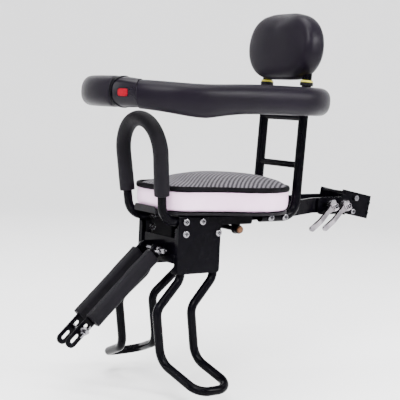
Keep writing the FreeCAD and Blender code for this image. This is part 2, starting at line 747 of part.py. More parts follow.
def base_bracket():
    """Sheet folded down at both sides, with a short tail behind and inward front flanges."""
    top = BRACKET_TOP_Z
    bottom = PLATE_BOTTOM_Z
    outer = BRACKET_HALF_WIDTH
    inner = BRACKET_INNER
    section = [
        Vector(TAIL_X, -outer, bottom),
        Vector(TAIL_X, -outer, top),
        Vector(TAIL_X, outer, top),
        Vector(TAIL_X, outer, bottom),
        Vector(TAIL_X, inner, bottom),
        Vector(TAIL_X, inner, top - SHEET),
        Vector(TAIL_X, -inner, top - SHEET),
        Vector(TAIL_X, -inner, bottom),
    ]
    bend = FOLD_RADIUS
    fold = rounded_face(section, (0, bend, bend, 0, 0, bend - SHEET, bend - SHEET, 0))
    channel = fold.extrude(Vector(FRONT_X - TAIL_X, 0, 0))
    tail_bottom = top - TAIL_DEPTH
    outline = [
        (TAIL_X, top),
        (FRONT_X, top),
        (FRONT_X, bottom),
        (PLATE_REAR_X, bottom),
        (PLATE_REAR_X, tail_bottom),
        (TAIL_X, tail_bottom),
    ]
    bracket = channel.common(side_prism(outline, (0, 0, 2.0, 5.0, 6.0, 4.0), outer))
    lug_x = FRONT_X - LUG_SETBACK
    lug_z = BRACKET_TOP_Z - LUG_DROP
    for side in (-1, 1):
        start = side * inner
        lug = slot_prism(
            Vector(lug_x, start, lug_z),
            Vector(lug_x, start, tail_bottom + LUG_RADIUS),
            LUG_RADIUS,
            Vector(0, side, 0),
            SHEET,
        )
        flange = [
            Vector(FRONT_X - SHEET, side * inner, bottom),
            Vector(FRONT_X - SHEET, side * (outer - FLANGE_FOOT_WIDTH), bottom),
            Vector(FRONT_X - SHEET, side * (outer - FLANGE_FOOT_WIDTH), bottom + FLANGE_FOOT_HEIGHT * 0.4),
            Vector(FRONT_X - SHEET, side * (outer - FLANGE_WIDTH), bottom + FLANGE_FOOT_HEIGHT),
            Vector(FRONT_X - SHEET, side * (outer - FLANGE_WIDTH), WEB_BOTTOM_Z - TAIL_DEPTH),
            Vector(FRONT_X - SHEET, side * inner, WEB_BOTTOM_Z - TAIL_DEPTH),
        ]
        fold_in = rounded_face(flange, (0, 2.0, 2.0, 4.0, 4.0, 0)).extrude(Vector(SHEET, 0, 0))
        bracket = bracket.fuse(lug).fuse(fold_in)
    bracket = bracket.removeSplitter()
    holes = [(x, HANDLE_RUN_Z, BOLT_RADIUS) for x in HANDLE_BOLT_XS]
    holes += [(x, FOOT_BOLT_Z, BOLT_RADIUS) for x in FOOT_BOLT_XS]
    holes.append((lug_x, lug_z, TIE_BOLT_RADIUS))
    for x, z, radius in holes:
        drill = Part.makeCylinder(
            radius + HOLE_CLEARANCE, 2 * outer, Vector(x, -outer, z), Vector(0, 1, 0)
        )
        bracket = bracket.cut(drill)
    for spot in pan_screw_spots():
        drill = Part.makeCylinder(PAN_SCREW_RADIUS + HOLE_CLEARANCE, 2 * SHEET, spot - Vector(0, 0, SHEET))
        bracket = bracket.cut(drill)
    return bracket


def pan_screw_spots():
    """Points on the underside of the bracket's top where the pan screws sit."""
    xs = (FRONT_X - PLATE_LENGTH * 0.3, TAIL_X + TAIL_LENGTH * 0.5)
    y = BRACKET_HALF_WIDTH * 0.5
    return [Vector(x, side * y, WEB_BOTTOM_Z) for x in xs for side in (-1, 1)]


def pan_screws():
    screw = pan_screw(PAN_SCREW_RADIUS, SHEET + PAN_THICKNESS - 0.5, 4.6, 3.0)
    return Part.makeCompound([placed(screw, spot, Vector(0, 0, -1)) for spot in pan_screw_spots()])


def seat_pan():
    """Board of the cushion's outline, cut back round the tubes, with a lip before the nose."""
    front = CUSHION_FRONT_X + PAN_LIP_GAP + PAN_LIP_THICKNESS
    bottom = BRACKET_TOP_Z
    board = Part.Face(cushion_outline(PAN_SCALE, bottom)).extrude(Vector(0, 0, PAN_THICKNESS))
    tongue = box_between(
        Vector(front - PAN_LIP_HALF_WIDTH, -PAN_LIP_HALF_WIDTH, bottom),
        Vector(front, PAN_LIP_HALF_WIDTH, bottom + PAN_THICKNESS),
    )
    board = board.fuse(tongue).cut(rod_along(handle_path(), ROD_RADIUS + PAN_GAP))
    for upright in both_sides(rod_along(upright_path(), UPRIGHT_RADIUS + CLEARANCE)):
        board = board.cut(upright)
    lip_x = front - PAN_LIP_THICKNESS
    lip_top = PAN_TOP_Z + PAN_LIP_HEIGHT
    lip = [
        Vector(lip_x, -PAN_LIP_HALF_WIDTH, bottom),
        Vector(lip_x, PAN_LIP_HALF_WIDTH, bottom),
        Vector(lip_x, PAN_LIP_HALF_WIDTH, lip_top),
        Vector(lip_x, -PAN_LIP_HALF_WIDTH, lip_top),
    ]
    edge = rounded_face(lip, (0, 0, 5.0, 5.0)).extrude(Vector(PAN_LIP_THICKNESS, 0, 0))
    pan = board.fuse(edge).removeSplitter()
    for spot in pan_screw_spots():
        pan = pan.cut(Part.makeCylinder(PAN_SCREW_RADIUS + HOLE_CLEARANCE, SHEET + 2 * PAN_THICKNESS, spot))
    return pan


def cushion_outline(scale, z):
    """Pear-shaped plan, narrow in front, drawn in about the crown."""
    nose = CUSHION_NOSE_HALF
    rear = CUSHION_REAR_HALF
    half = [
        (0.0, 0.0),
        (0.02, 0.53 * nose),
        (0.1, 0.9 * nose),
        (0.225, 1.04 * nose),
        (0.37, 0.79 * rear),
        (0.53, 0.95 * rear),
        (0.69, rear),
        (0.85, 0.86 * rear),
        (0.965, 0.5 * rear),
        (1.0, 0.0),
    ]
    whole = half + [(share, -width) for share, width in half[-2:0:-1]]
    centre_x = CUSHION_FRONT_X - CROWN_SETBACK
    points = []
    for share, width in whole:
        x = CUSHION_FRONT_X - share * CUSHION_LENGTH
        points.append(Vector(centre_x + (x - centre_x) * scale, width * scale, z))
    curve = Part.BSplineCurve()
    curve.interpolate(points, PeriodicFlag=True)
    return Part.Wire(curve.toShape())


def seat_cushion():
    side = Part.Face(cushion_outline(1.0, CUSHION_BOTTOM_Z)).extrude(Vector(0, 0, CUSHION_SIDE))
    steps = ((1.0, 0.0), (0.95, 0.36), (0.8, 0.72), (0.5, 1.0))
    crown = Part.makeLoft([cushion_outline(scale, SEAM_Z + rise * CUSHION_CROWN) for scale, rise in steps], True)
    cushion = side.fuse(crown).cut(rod_along(handle_path(), ROD_RADIUS + CLEARANCE))
    for upright in both_sides(rod_along(upright_path(), UPRIGHT_RADIUS + CLEARANCE)):
        cushion = cushion.cut(upright)
    return cushion


def tie_point(y):
    return Vector(FRONT_X - LUG_SETBACK, y, BRACKET_TOP_Z - LUG_DROP)


def tie_cap_length():
    return BRACKET_HALF_WIDTH + TIE_CAP_LENGTH


def tie_bolt():
    reach = tie_cap_length() + TIE_END_LENGTH - 1.0
    return rod_between(tie_point(-reach), tie_point(reach), TIE_BOLT_RADIUS)


def tie_rings(start, length, radius):
    """Pair of rings on the tie bolt, one at each end."""
    ring = Part.makeCylinder(radius, length, tie_point(start), Vector(0, 1, 0))
    bore = Part.makeCylinder(TIE_BOLT_RADIUS + HOLE_CLEARANCE, length, tie_point(start), Vector(0, 1, 0))
    return Part.makeCompound(both_sides(ring.cut(bore)))


# Back frame and headrest


def upright_path():
    foot_x = upright_x(RUN_Z)
    return bent_path(
        [
            Vector(foot_x + RUN_LENGTH, BACK_HALF_WIDTH, RUN_Z),
            Vector(foot_x, BACK_HALF_WIDTH, RUN_Z),
            Vector(upright_x(UPRIGHT_TOP), BACK_HALF_WIDTH, UPRIGHT_TOP),
        ],
        [RUN_BEND],
    )


def upright_rod(radius, low, high):
    """Straight rod along the left upright's axis between two heights."""
    return rod_between(
        Vector(upright_x(low), BACK_HALF_WIDTH, low),
        Vector(upright_x(high), BACK_HALF_WIDTH, high),
        radius,
    )


def back_frame():
    outer = rod_along(upright_path(), UPRIGHT_RADIUS)
    inner = rod_along(upright_path(), UPRIGHT_RADIUS - TUBE_WALL)
    frame = outer.fuse(mirrored(outer))
    for height in CROSSBAR_HEIGHTS:
        x = upright_x(height)
        bar = rod_between(
            Vector(x, -BACK_HALF_WIDTH, height), Vector(x, BACK_HALF_WIDTH, height), CROSSBAR_RADIUS
        )
        frame = frame.fuse(bar)
    for core in both_sides(inner):
        frame = frame.cut(core)
    for setback in BACK_BOLT_SETBACKS:
        drill = Part.makeCylinder(
            BOLT_RADIUS + HOLE_CLEARANCE,
            4 * BACK_HALF_WIDTH,
            Vector(FRONT_X - setback, -2 * BACK_HALF_WIDTH, RUN_Z),
            Vector(0, 1, 0),
        )
        frame = frame.cut(drill)
    for hole in both_sides(guard_screw_drill()):
        frame = frame.cut(hole)
    return frame.removeSplitter()


def back_bolt_seat():
    return BACK_HALF_WIDTH + UPRIGHT_RADIUS


def back_bolts():
    length = 2 * UPRIGHT_RADIUS + ARM_SHEET + NUT_HEIGHT + BOLT_TIP
    bolt = pan_screw(BOLT_RADIUS, length, BOLT_HEAD_RADIUS, BOLT_HEAD_HEIGHT)
    solids = []
    for setback in BACK_BOLT_SETBACKS:
        spot = Vector(FRONT_X - setback, back_bolt_seat(), RUN_Z)
        solids += both_sides(placed(bolt, spot, Vector(0, 1, 0)))
    return Part.makeCompound(solids)


def nuts_on(xs, z, y):
    """Nuts whose outer face lies at Y on both sides of the seat."""
    nut = hex_nut(BOLT_RADIUS, NUT_ACROSS, NUT_HEIGHT)
    solids = []
    for x in xs:
        solids += both_sides(placed(nut, Vector(x, y, z), Vector(0, -1, 0)))
    return Part.makeCompound(solids)


def rings_on_uprights(radius, low, height):
    ring = upright_rod(radius, low, low + height)
    bore = upright_rod(UPRIGHT_RADIUS + CLEARANCE, low - height, low + 2 * height)
    return Part.makeCompound(both_sides(ring.cut(bore)))


def headrest_pad():
    half = HEADREST_HALF_WIDTH
    depth = HEADREST_THICKNESS
    corners = [
        Vector(-depth / 2, -half, 0),
        Vector(-depth / 2, half, 0),
        Vector(-depth / 2, half, HEADREST_HEIGHT),
        Vector(-depth / 2, -half, HEADREST_HEIGHT),
    ]
    block = rounded_face(corners, [HEADREST_CORNER] * 4).extrude(Vector(depth, 0, 0))
    rims = [
        edge
        for edge in block.Edges
        if abs(edge.BoundBox.XMax - edge.BoundBox.XMin) < 0.001
    ]
    block = block.makeFillet(HEADREST_EDGE, rims)
    seat_point = Vector(upright_x(HEADREST_BOTTOM) + HEADREST_AHEAD, 0, HEADREST_BOTTOM)
    block = turned_about_y(block, -BACK_LEAN, seat_point)
    socket = upright_rod(UPRIGHT_RADIUS + CLEARANCE, HEADREST_BOTTOM - 20.0, UPRIGHT_TOP + CLEARANCE)
    for bore in both_sides(socket):
        block = block.cut(bore)
    return block


# Guard ring


def front_point(angle):
    """Point of the ring's centre line on its front arc; 90 is the left side."""
    turn = math.radians(angle)
    outward = Vector(math.cos(turn), math.sin(turn), 0)
    return Vector(RING_CENTRE_X, 0, GUARD_Z) + outward * GUARD_HALF_WIDTH, outward


def corner_point(angle):
    """Point on the left rear corner; 0 meets the side and 90 meets the back."""
    turn = math.radians(angle)
    outward = Vector(-math.sin(turn), math.cos(turn), 0)
    centre = Vector(CORNER_CENTRE_X, GUARD_HALF_WIDTH - GUARD_CORNER, GUARD_Z)
    return centre + outward * GUARD_CORNER, outward


def ring_section(point, outward, half_width, up, down):
    """Closed full-bodied oval across the ring."""
    points = []
    for index in range(SECTION_POINTS):
        turn = 2 * math.pi * index / SECTION_POINTS
        across = math.copysign(abs(math.cos(turn)) ** SECTION_FULLNESS, math.cos(turn))
        rise = math.copysign(abs(math.sin(turn)) ** SECTION_FULLNESS, math.sin(turn))
        height = up if rise > 0 else down
        points.append(point + outward * (half_width * across) + Vector(0, 0, height * rise))
    curve = Part.BSplineCurve()
    curve.interpolate(points, PeriodicFlag=True)
    return Part.Wire(curve.toShape())


def pad_section(point, outward):
    """The pad swells below the ring where the sides meet the front arc."""
    share = min(max((point.x - RING_CENTRE_X) / GUARD_HALF_WIDTH, 0), 1)
    up = PAD_HALF_HEIGHT + (COLLAR_HALF_HEIGHT - PAD_HALF_HEIGHT) * share
    width = PAD_HALF_WIDTH + (COLLAR_HALF_WIDTH - PAD_HALF_WIDTH) * share
    swell = PAD_BULGE * math.exp(-(((point.x - RING_CENTRE_X - PAD_BULGE_AHEAD) / PAD_BULGE_SPAN) ** 2))
    return ring_section(point, outward, width, up, up + swell * (1 - share))


def side_stations(start_x):
    """Centre line points along the left side and the rear corner, front to back."""
    stations = []
    steps = 5
    for index in range(steps):
        x = start_x + (CORNER_CENTRE_X - start_x) * index / steps
        stations.append((Vector(x, GUARD_HALF_WIDTH, GUARD_Z), Vector(0, 1, 0)))
    for angle in (0, 22.5, 45, 67.5, 90):
        stations.append(corner_point(angle))
    return stations


def to_the_right(stations):
    flip = []
    for point, outward in stations:
        flip.append((Vector(point.x, -point.y, point.z), Vector(outward.x, -outward.y, 0)))
    return flip


def guard_core_path():
    """Steel core from the latch collar round the back to the hinge collar."""
    start, _ = front_point(CORE_END_ANGLE)
    middle, _ = front_point((CORE_END_ANGLE + 90) / 2)
    side_front, _ = front_point(90)
    side_rear, _ = corner_point(0)
    bend, _ = corner_point(45)
    back, _ = corner_point(90)
    right = [Vector(point.x, -point.y, point.z) for point in (back, bend, side_rear)]
    end = Vector(HINGE_COLLAR_REAR_X + HINGE_COLLAR_LENGTH * 0.6, -GUARD_HALF_WIDTH, GUARD_Z)
    return Part.Wire(
        [
            Part.Arc(start, middle, side_front).toShape(),
            Part.LineSegment(side_front, side_rear).toShape(),
            Part.Arc(side_rear, bend, back).toShape(),
            Part.LineSegment(back, right[0]).toShape(),
            Part.Arc(right[0], right[1], right[2]).toShape(),
            Part.LineSegment(right[2], end).toShape(),
        ]
    )


def guard_screw_drill():
    x = upright_x(GUARD_Z)
    return rod_between(
        Vector(x + 2 * UPRIGHT_RADIUS, BACK_HALF_WIDTH, GUARD_Z),
        Vector(GUARD_REAR_X, BACK_HALF_WIDTH, GUARD_Z),
        BOLT_RADIUS + HOLE_CLEARANCE,
    )


def guard_screws():
    length = 2 * UPRIGHT_RADIUS + CORE_GAP + CORE_RADIUS - CLEARANCE
    screw = pan_screw(BOLT_RADIUS, length, BOLT_HEAD_RADIUS, BOLT_HEAD_HEIGHT)
    lean = math.radians(BACK_LEAN)
    face = upright_x(GUARD_Z) + UPRIGHT_RADIUS / math.cos(lean) + BOLT_HEAD_RADIUS * math.tan(lean)
    spot = Vector(face, BACK_HALF_WIDTH, GUARD_Z)
    return Part.makeCompound(both_sides(placed(screw, spot, Vector(1, 0, 0))))


def guard_core():
    core = tube_along(guard_core_path(), CORE_RADIUS)
    for hole in both_sides(guard_screw_drill()):
        core = core.cut(hole)
    return core


def guard_pad():
    span = 90 - COLLAR_END_ANGLE
    front = [front_point(COLLAR_END_ANGLE + span * index / 4) for index in range(4)]
    left = front + side_stations(RING_CENTRE_X)
    right = to_the_right(side_stations(HINGE_COLLAR_REAR_X))[::-1]
    sections = [pad_section(point, outward) for point, outward in left + right]
    pad = Part.makeLoft(sections, True)
    pad = pad.cut(rod_along(guard_core_path(), CORE_RADIUS + CLEARANCE))
    notch = upright_rod(UPRIGHT_RADIUS + CLEARANCE, GUARD_Z - 60.0, GUARD_Z + 40.0)
    drill = rod_between(
        Vector(upright_x(GUARD_Z), BACK_HALF_WIDTH, GUARD_Z),
        Vector(upright_x(GUARD_Z) + 3 * UPRIGHT_RADIUS, BACK_HALF_WIDTH, GUARD_Z),
        BOLT_HEAD_RADIUS + CLEARANCE,
    )
    for space in both_sides(notch) + both_sides(drill) + both_sides(guard_screw_drill()):
        pad = pad.cut(space)
    return pad


def collar_section(angle, half_width, up, down):
    point, outward = front_point(angle)
    return ring_section(point, outward, half_width, up, down)


def latch_placed(shape, angle):
    """A shape built with X outwards and Y along the ring, moved to the front arc."""
    point, _ = front_point(angle)
    return moved(shape, point, FreeCAD.Rotation(Vector(0, 0, 1), angle))


def button_roof():
    """Outward distance of the shelf that keeps the button in its pocket."""
    return BUTTON_DEPTH + BUTTON_FLANGE + CLEARANCE


def latch_collar():
    """Hard sleeve at the end of the left side, with a socket and the button's pocket."""
    steps = 4
    sections = []
    for index in range(steps + 1):
        angle = LATCH_ANGLE + (COLLAR_END_ANGLE - LATCH_ANGLE) * index / steps
        share = index / steps
        width = GATE_HALF_WIDTH + (COLLAR_HALF_WIDTH - GATE_HALF_WIDTH) * share
        up = GATE_RISE + (COLLAR_HALF_HEIGHT - GATE_RISE) * share
        down = GATE_HALF_HEIGHT + (COLLAR_HALF_HEIGHT - GATE_HALF_HEIGHT) * share
        sections.append(collar_section(angle, width, up, down))
    collar = Part.makeLoft(sections, True)
    core = rod_along(guard_core_path(), CORE_RADIUS + HOLE_CLEARANCE)
    socket = box_between(
        Vector(-TONGUE_INSET - TONGUE_THICKNESS, -1.0, -TONGUE_HEIGHT / 2 - 1.0),
        Vector(TONGUE_THICKNESS, TONGUE_LENGTH + 1.0, TONGUE_HEIGHT / 2 + 1.0),
    )
    half = BUTTON_LENGTH / 2
    chamber = box_between(
        Vector(BUTTON_DEPTH - SPRING_LENGTH, -half - 2.0, -BUTTON_HEIGHT / 2 - CLEARANCE),
        Vector(button_roof(), half + 2.0, BUTTON_HEIGHT / 2 + CLEARANCE),
    )
    window = box_between(
        Vector(0, -half - CLEARANCE, -BUTTON_HEIGHT / 2 - CLEARANCE),
        Vector(2 * GATE_HALF_WIDTH, half + CLEARANCE, BUTTON_HEIGHT / 2 + CLEARANCE),
    )
    window.translate(Vector(BUTTON_DEPTH, 0, 0))
    collar = collar.cut(core).cut(latch_placed(socket, LATCH_ANGLE))
    return collar.cut(latch_placed(chamber, BUTTON_ANGLE)).cut(latch_placed(window, BUTTON_ANGLE))


def release_button():
    half = BUTTON_LENGTH / 2
    top = COLLAR_HALF_WIDTH + BUTTON_PROUD
    cap = box_between(
        Vector(BUTTON_DEPTH, -half, -BUTTON_HEIGHT / 2), Vector(top, half, BUTTON_HEIGHT / 2)
    )
    rims = [edge for edge in cap.Edges if edge.BoundBox.XMin > top - 0.001]
    cap = cap.makeFillet(1.4, rims)
    flange = box_between(
        Vector(BUTTON_DEPTH, -half - 1.7, -BUTTON_HEIGHT / 2),
        Vector(BUTTON_DEPTH + BUTTON_FLANGE, half + 1.7, BUTTON_HEIGHT / 2),
    )
    return latch_placed(cap.fuse(flange).removeSplitter(), BUTTON_ANGLE)


def button_spring():
    """Bellows that pushes the button out, folded along its length."""
    outer = []
    for index in range(2 * SPRING_FOLDS + 1):
        radius = SPRING_RADIUS if index % 2 == 0 else SPRING_RADIUS - SPRING_WALL
        outer.append(Vector(radius, 0, SPRING_LENGTH * index / (2 * SPRING_FOLDS)))
    inner = [point - Vector(SPRING_WALL, 0, 0) for point in outer]
    outline = outer + inner[::-1]
    profile = Part.Face(Part.makePolygon(outline + outline[:1]))
    bellows = profile.revolve(Vector(0, 0, 0), Vector(0, 0, 1), 360)
    bellows = placed(bellows, Vector(BUTTON_DEPTH - SPRING_LENGTH, 0, 0), Vector(1, 0, 0))
    return latch_placed(bellows, BUTTON_ANGLE)


def hinge_collar():
    """Hard sleeve at the end of the right side, with two lugs for the hinge pin."""
    outward = Vector(0, -1, 0)
    sections = []
    for x in (HINGE_COLLAR_FRONT_X, HINGE_COLLAR_REAR_X):
        point = Vector(x, -GUARD_HALF_WIDTH, GUARD_Z)
        sections.append(ring_section(point, outward, COLLAR_HALF_WIDTH, COLLAR_HALF_HEIGHT, COLLAR_HALF_HEIGHT))
    collar = Part.makeLoft(sections, True)
    gap = KNUCKLE_HALF_HEIGHT + CLEARANCE
    for bottom in (gap, -gap - HINGE_LUG_HEIGHT):
        disc = Part.makeCylinder(HINGE_LUG_RADIUS, HINGE_LUG_HEIGHT, HINGE_PIVOT + Vector(0, 0, bottom))
        bridge = box_between(
            HINGE_PIVOT + Vector(-HINGE_REACH - 6.0, -HINGE_LUG_RADIUS * 0.75, bottom),
            HINGE_PIVOT + Vector(0, HINGE_LUG_RADIUS * 0.75, bottom + HINGE_LUG_HEIGHT),
        )
        behind = box_between(
            HINGE_PIVOT + Vector(-3 * HINGE_LUG_RADIUS, -2 * HINGE_LUG_RADIUS, bottom),
            HINGE_PIVOT + Vector(-HINGE_REACH, 2 * HINGE_LUG_RADIUS, bottom + HINGE_LUG_HEIGHT),
        )
        collar = collar.fuse(disc.cut(behind)).fuse(bridge)
    collar = collar.cut(rod_along(guard_core_path(), CORE_RADIUS + HOLE_CLEARANCE))
    reach = gap + HINGE_LUG_HEIGHT
    pin_hole = Part.makeCylinder(
        HINGE_PIN_RADIUS + HOLE_CLEARANCE, 2 * reach, HINGE_PIVOT - Vector(0, 0, reach)
    )
    return collar.cut(pin_hole).removeSplitter()


def hinge_pin():
    reach = KNUCKLE_HALF_HEIGHT + CLEARANCE + HINGE_LUG_HEIGHT
    shank = Part.makeCylinder(HINGE_PIN_RADIUS, 2 * reach + 1.0, HINGE_PIVOT - Vector(0, 0, reach + 1.0))
    head = Part.makeCylinder(HINGE_PIN_RADIUS * 1.8, 2.0)
    head = head.makeFillet(1.2, [head.Edges[0]])
    return shank.fuse(placed(head, HINGE_PIVOT + Vector(0, 0, reach), Vector(0, 0, 1))).removeSplitter()


def gate_core_path():
    start, _ = front_point(GATE_LATCH_ANGLE)
    middle, _ = front_point((GATE_LATCH_ANGLE + GATE_HINGE_ANGLE) / 2)
    end, _ = front_point(GATE_HINGE_ANGLE)
    return Part.Wire([Part.Arc(start, middle, end).toShape()])


def gate_pad():
    steps = 7
    sections = []
    for index in range(steps + 1):
        angle = GATE_LATCH_ANGLE + (GATE_HINGE_ANGLE - GATE_LATCH_ANGLE) * index / steps
        sections.append(collar_section(angle, GATE_HALF_WIDTH, GATE_RISE, GATE_HALF_HEIGHT))
    pad = Part.makeLoft(sections, True)
    return pad.cut(rod_along(gate_core_path(), CORE_RADIUS + CLEARANCE))


def end_plate(angle, forwards):
    """Thin oval plate on the end of the gate's pad, built along the ring."""
    width = GATE_HALF_WIDTH - PLATE_INSET
    oval = collar_section(angle, width, GATE_RISE - PLATE_INSET, GATE_HALF_HEIGHT - PLATE_INSET)
    plate = Part.Face(oval)
    turn = math.radians(angle)
    along = Vector(-math.sin(turn), math.cos(turn), 0)
    return plate.extrude(along * (END_PLATE * forwards))


def gate_tongue():
    plate = end_plate(GATE_LATCH_ANGLE, 1)
    tongue = box_between(
        Vector(-TONGUE_INSET - TONGUE_THICKNESS / 2, 0.5, -TONGUE_HEIGHT / 2),
        Vector(-TONGUE_INSET + TONGUE_THICKNESS / 2, END_PLATE + SEAM_GAP + TONGUE_LENGTH, TONGUE_HEIGHT / 2),
    )
    return plate.fuse(latch_placed(tongue, GATE_LATCH_ANGLE)).removeSplitter()


def gate_knuckle():
    plate = end_plate(GATE_HINGE_ANGLE, -1)
    height = 2 * KNUCKLE_HALF_HEIGHT
    low = Vector(0, 0, -KNUCKLE_HALF_HEIGHT)
    barrel = Part.makeCylinder(KNUCKLE_RADIUS, height, HINGE_PIVOT + low)
    arm = box_between(
        HINGE_PIVOT + Vector(0, -KNUCKLE_RADIUS * 0.8, -KNUCKLE_HALF_HEIGHT),
        HINGE_PIVOT + Vector(HINGE_STANDOFF + END_PLATE * 0.5, KNUCKLE_RADIUS * 0.8, KNUCKLE_HALF_HEIGHT),
    )
    bore = Part.makeCylinder(HINGE_PIN_RADIUS + RUNNING_CLEARANCE, height, HINGE_PIVOT + low)
    return plate.fuse(barrel).fuse(arm).cut(bore).removeSplitter()


# Handle and foot rests


def handle_points():
    """Left half of the handle's line, from its rear end to the top corner."""
    tail_x = HANDLE_BOLT_XS[1] - HANDLE_TAIL
    return [
        Vector(tail_x, TUBE_Y, HANDLE_RUN_Z),
        Vector(FRONT_X + HANDLE_AHEAD, TUBE_Y, HANDLE_RUN_Z),
        Vector(FRONT_X + HANDLE_TOP_AHEAD, HANDLE_TOP_HALF, HANDLE_TOP_Z),
    ]


def handle_path():
    left = handle_points()
    right = [Vector(point.x, -point.y, point.z) for point in left]
    radii = [HANDLE_HEEL, HANDLE_ARCH, HANDLE_ARCH, HANDLE_HEEL]
    return bent_path(left + right[::-1], radii)


def drilled(shape, xs, z):
    for x in xs:
        drill = Part.makeCylinder(
            BOLT_RADIUS + HOLE_CLEARANCE,
            2 * BRACKET_HALF_WIDTH,
            Vector(x, -BRACKET_HALF_WIDTH, z),
            Vector(0, 1, 0),
        )
        shape = shape.cut(drill)
    return shape


def handle_tube():
    return drilled(tube_along(handle_path(), ROD_RADIUS), HANDLE_BOLT_XS, HANDLE_RUN_Z)


def handle_grip():
    _, heel, top = handle_points()
    share = (GRIP_START_Z - heel.z) / (top.z - heel.z)
    start = heel + (top - heel) * share
    right = [Vector(point.x, -point.y, point.z) for point in (top, start)]
    path = bent_path([start, top] + right, [HANDLE_ARCH, HANDLE_ARCH])
    return rod_along(path, GRIP_RADIUS).cut(rod_along(path, ROD_RADIUS + CLEARANCE))


def bracket_bolts(xs, z):
    """Pan-head bolts through the bracket's plate and the tube behind it."""
    length = SHEET + 2 * ROD_RADIUS + NUT_HEIGHT + BOLT_TIP
    bolt = pan_screw(BOLT_RADIUS, length, BOLT_HEAD_RADIUS, BOLT_HEAD_HEIGHT)
    solids = []
    for x in xs:
        solids += both_sides(placed(bolt, Vector(x, BRACKET_HALF_WIDTH, z), Vector(0, 1, 0)))
    return Part.makeCompound(solids)


def bracket_nut_y():
    return BRACKET_INNER - 2 * ROD_RADIUS


def foot_loop_left():
    front_x, rear_x = FOOT_BOLT_XS
    low_y = TUBE_Y + FOOT_SPREAD
    shin = front_x + FOOT_SHIFT
    ankle_x = shin - FOOT_LEAN
    toe_x = ankle_x - FOOT_SWEEP
    points = [
        Vector(front_x, TUBE_Y, FOOT_TOP_Z),
        Vector(front_x, TUBE_Y, FOOT_KNEE_Z),
        Vector(shin, low_y, FOOT_SHIN_Z),
        Vector(ankle_x, low_y, FOOT_ANKLE_Z),
        Vector(toe_x, FOOT_TOE_Y, FOOT_TOE_Z),
        Vector(toe_x - FOOT_TOE_LENGTH, FOOT_TOE_Y, FOOT_TOE_Z),
        Vector(ankle_x - FOOT_TOE_LENGTH, low_y, FOOT_ANKLE_Z),
        Vector(shin - FOOT_TOE_LENGTH, low_y, FOOT_SHIN_Z),
        Vector(rear_x, TUBE_Y, FOOT_KNEE_Z),
        Vector(rear_x, TUBE_Y, FOOT_TOP_Z),
    ]
    knee = FOOT_KNEE_BEND
    ankle = FOOT_ANKLE_BEND
    toe = FOOT_TOE_BEND
    path = bent_path(points, [knee, knee, ankle, toe, toe, ankle, knee, knee])
    return drilled(tube_along(path, ROD_RADIUS), FOOT_BOLT_XS, FOOT_BOLT_Z)


# Support arms


def pivot_bracket():
    """Plate behind the bracket's flanges with two ears for the pivot bolt."""
    rear_x = FRONT_X - 2 * SHEET
    low = PIVOT_Z - PIVOT_PLATE_HEIGHT / 2
    corners = [
        Vector(rear_x, -BRACKET_INNER, low),
        Vector(rear_x, BRACKET_INNER, low),
        Vector(rear_x, BRACKET_INNER, low + PIVOT_PLATE_HEIGHT),
        Vector(rear_x, -BRACKET_INNER, low + PIVOT_PLATE_HEIGHT),
    ]
    plate = rounded_face(corners, [3.0] * 4).extrude(Vector(SHEET, 0, 0))
    for side in (-1, 1):
        ear = slot_prism(
            Vector(rear_x + EAR_RADIUS, side * EAR_OUTER, PIVOT_Z),
            Vector(PIVOT.x, side * EAR_OUTER, PIVOT_Z),
            EAR_RADIUS,
            Vector(0, -side, 0),
            SHEET,
        )
        root = box_between(
            Vector(rear_x, min(side * EAR_OUTER, side * (EAR_OUTER - SHEET)), PIVOT_Z - EAR_RADIUS),
            Vector(PIVOT.x - EAR_RADIUS, max(side * EAR_OUTER, side * (EAR_OUTER - SHEET)), PIVOT_Z + EAR_RADIUS),
        )
        plate = plate.fuse(ear).fuse(root)
    hole = Part.makeCylinder(
        PIVOT_RADIUS + HOLE_CLEARANCE, 4 * EAR_OUTER, PIVOT - Vector(0, 2 * EAR_OUTER, 0), Vector(0, 1, 0)
    )
    return plate.cut(hole).removeSplitter()


def pivot_head_y():
    return SUPPORT_HALF_GAP + SUPPORT_SHEET / 2 + CLEARANCE


def pivot_bolt():
    length = 2 * pivot_head_y() + WING_HEIGHT + 3.0
    bolt = hex_bolt(PIVOT_RADIUS, length, 13.0, 5.3)
    return placed(bolt, PIVOT - Vector(0, pivot_head_y(), 0), Vector(0, -1, 0))


def pivot_wing_nut():
    return placed(wing_nut(PIVOT_RADIUS), PIVOT + Vector(0, pivot_head_y(), 0), Vector(0, 1, 0))


def support_placed(shape):
    """A shape built with the arm along X from the pivot, moved to its place."""
    return turned_about_y(shape, SUPPORT_DROP, PIVOT)


def support_strip(grow, tail, reach):
    """Joggled strip of the left bar, along X in plan, thickened by a clearance."""
    start = SUPPORT_REACH - SUPPORT_JOGGLE_INSET
    end = start + SUPPORT_JOGGLE_LENGTH
    line = [
        Vector(-tail, SUPPORT_HALF_GAP, 0),
        Vector(start, SUPPORT_HALF_GAP, 0),
        Vector(end, SUPPORT_TIP_HALF_GAP, 0),
        Vector(reach, SUPPORT_TIP_HALF_GAP, 0),
    ]
    half = SUPPORT_WIDTH / 2 + grow
    strip = strip_face(line, SUPPORT_SHEET + 2 * grow).extrude(Vector(0, 0, 2 * half))
    strip.translate(Vector(0, 0, -half))
    return strip


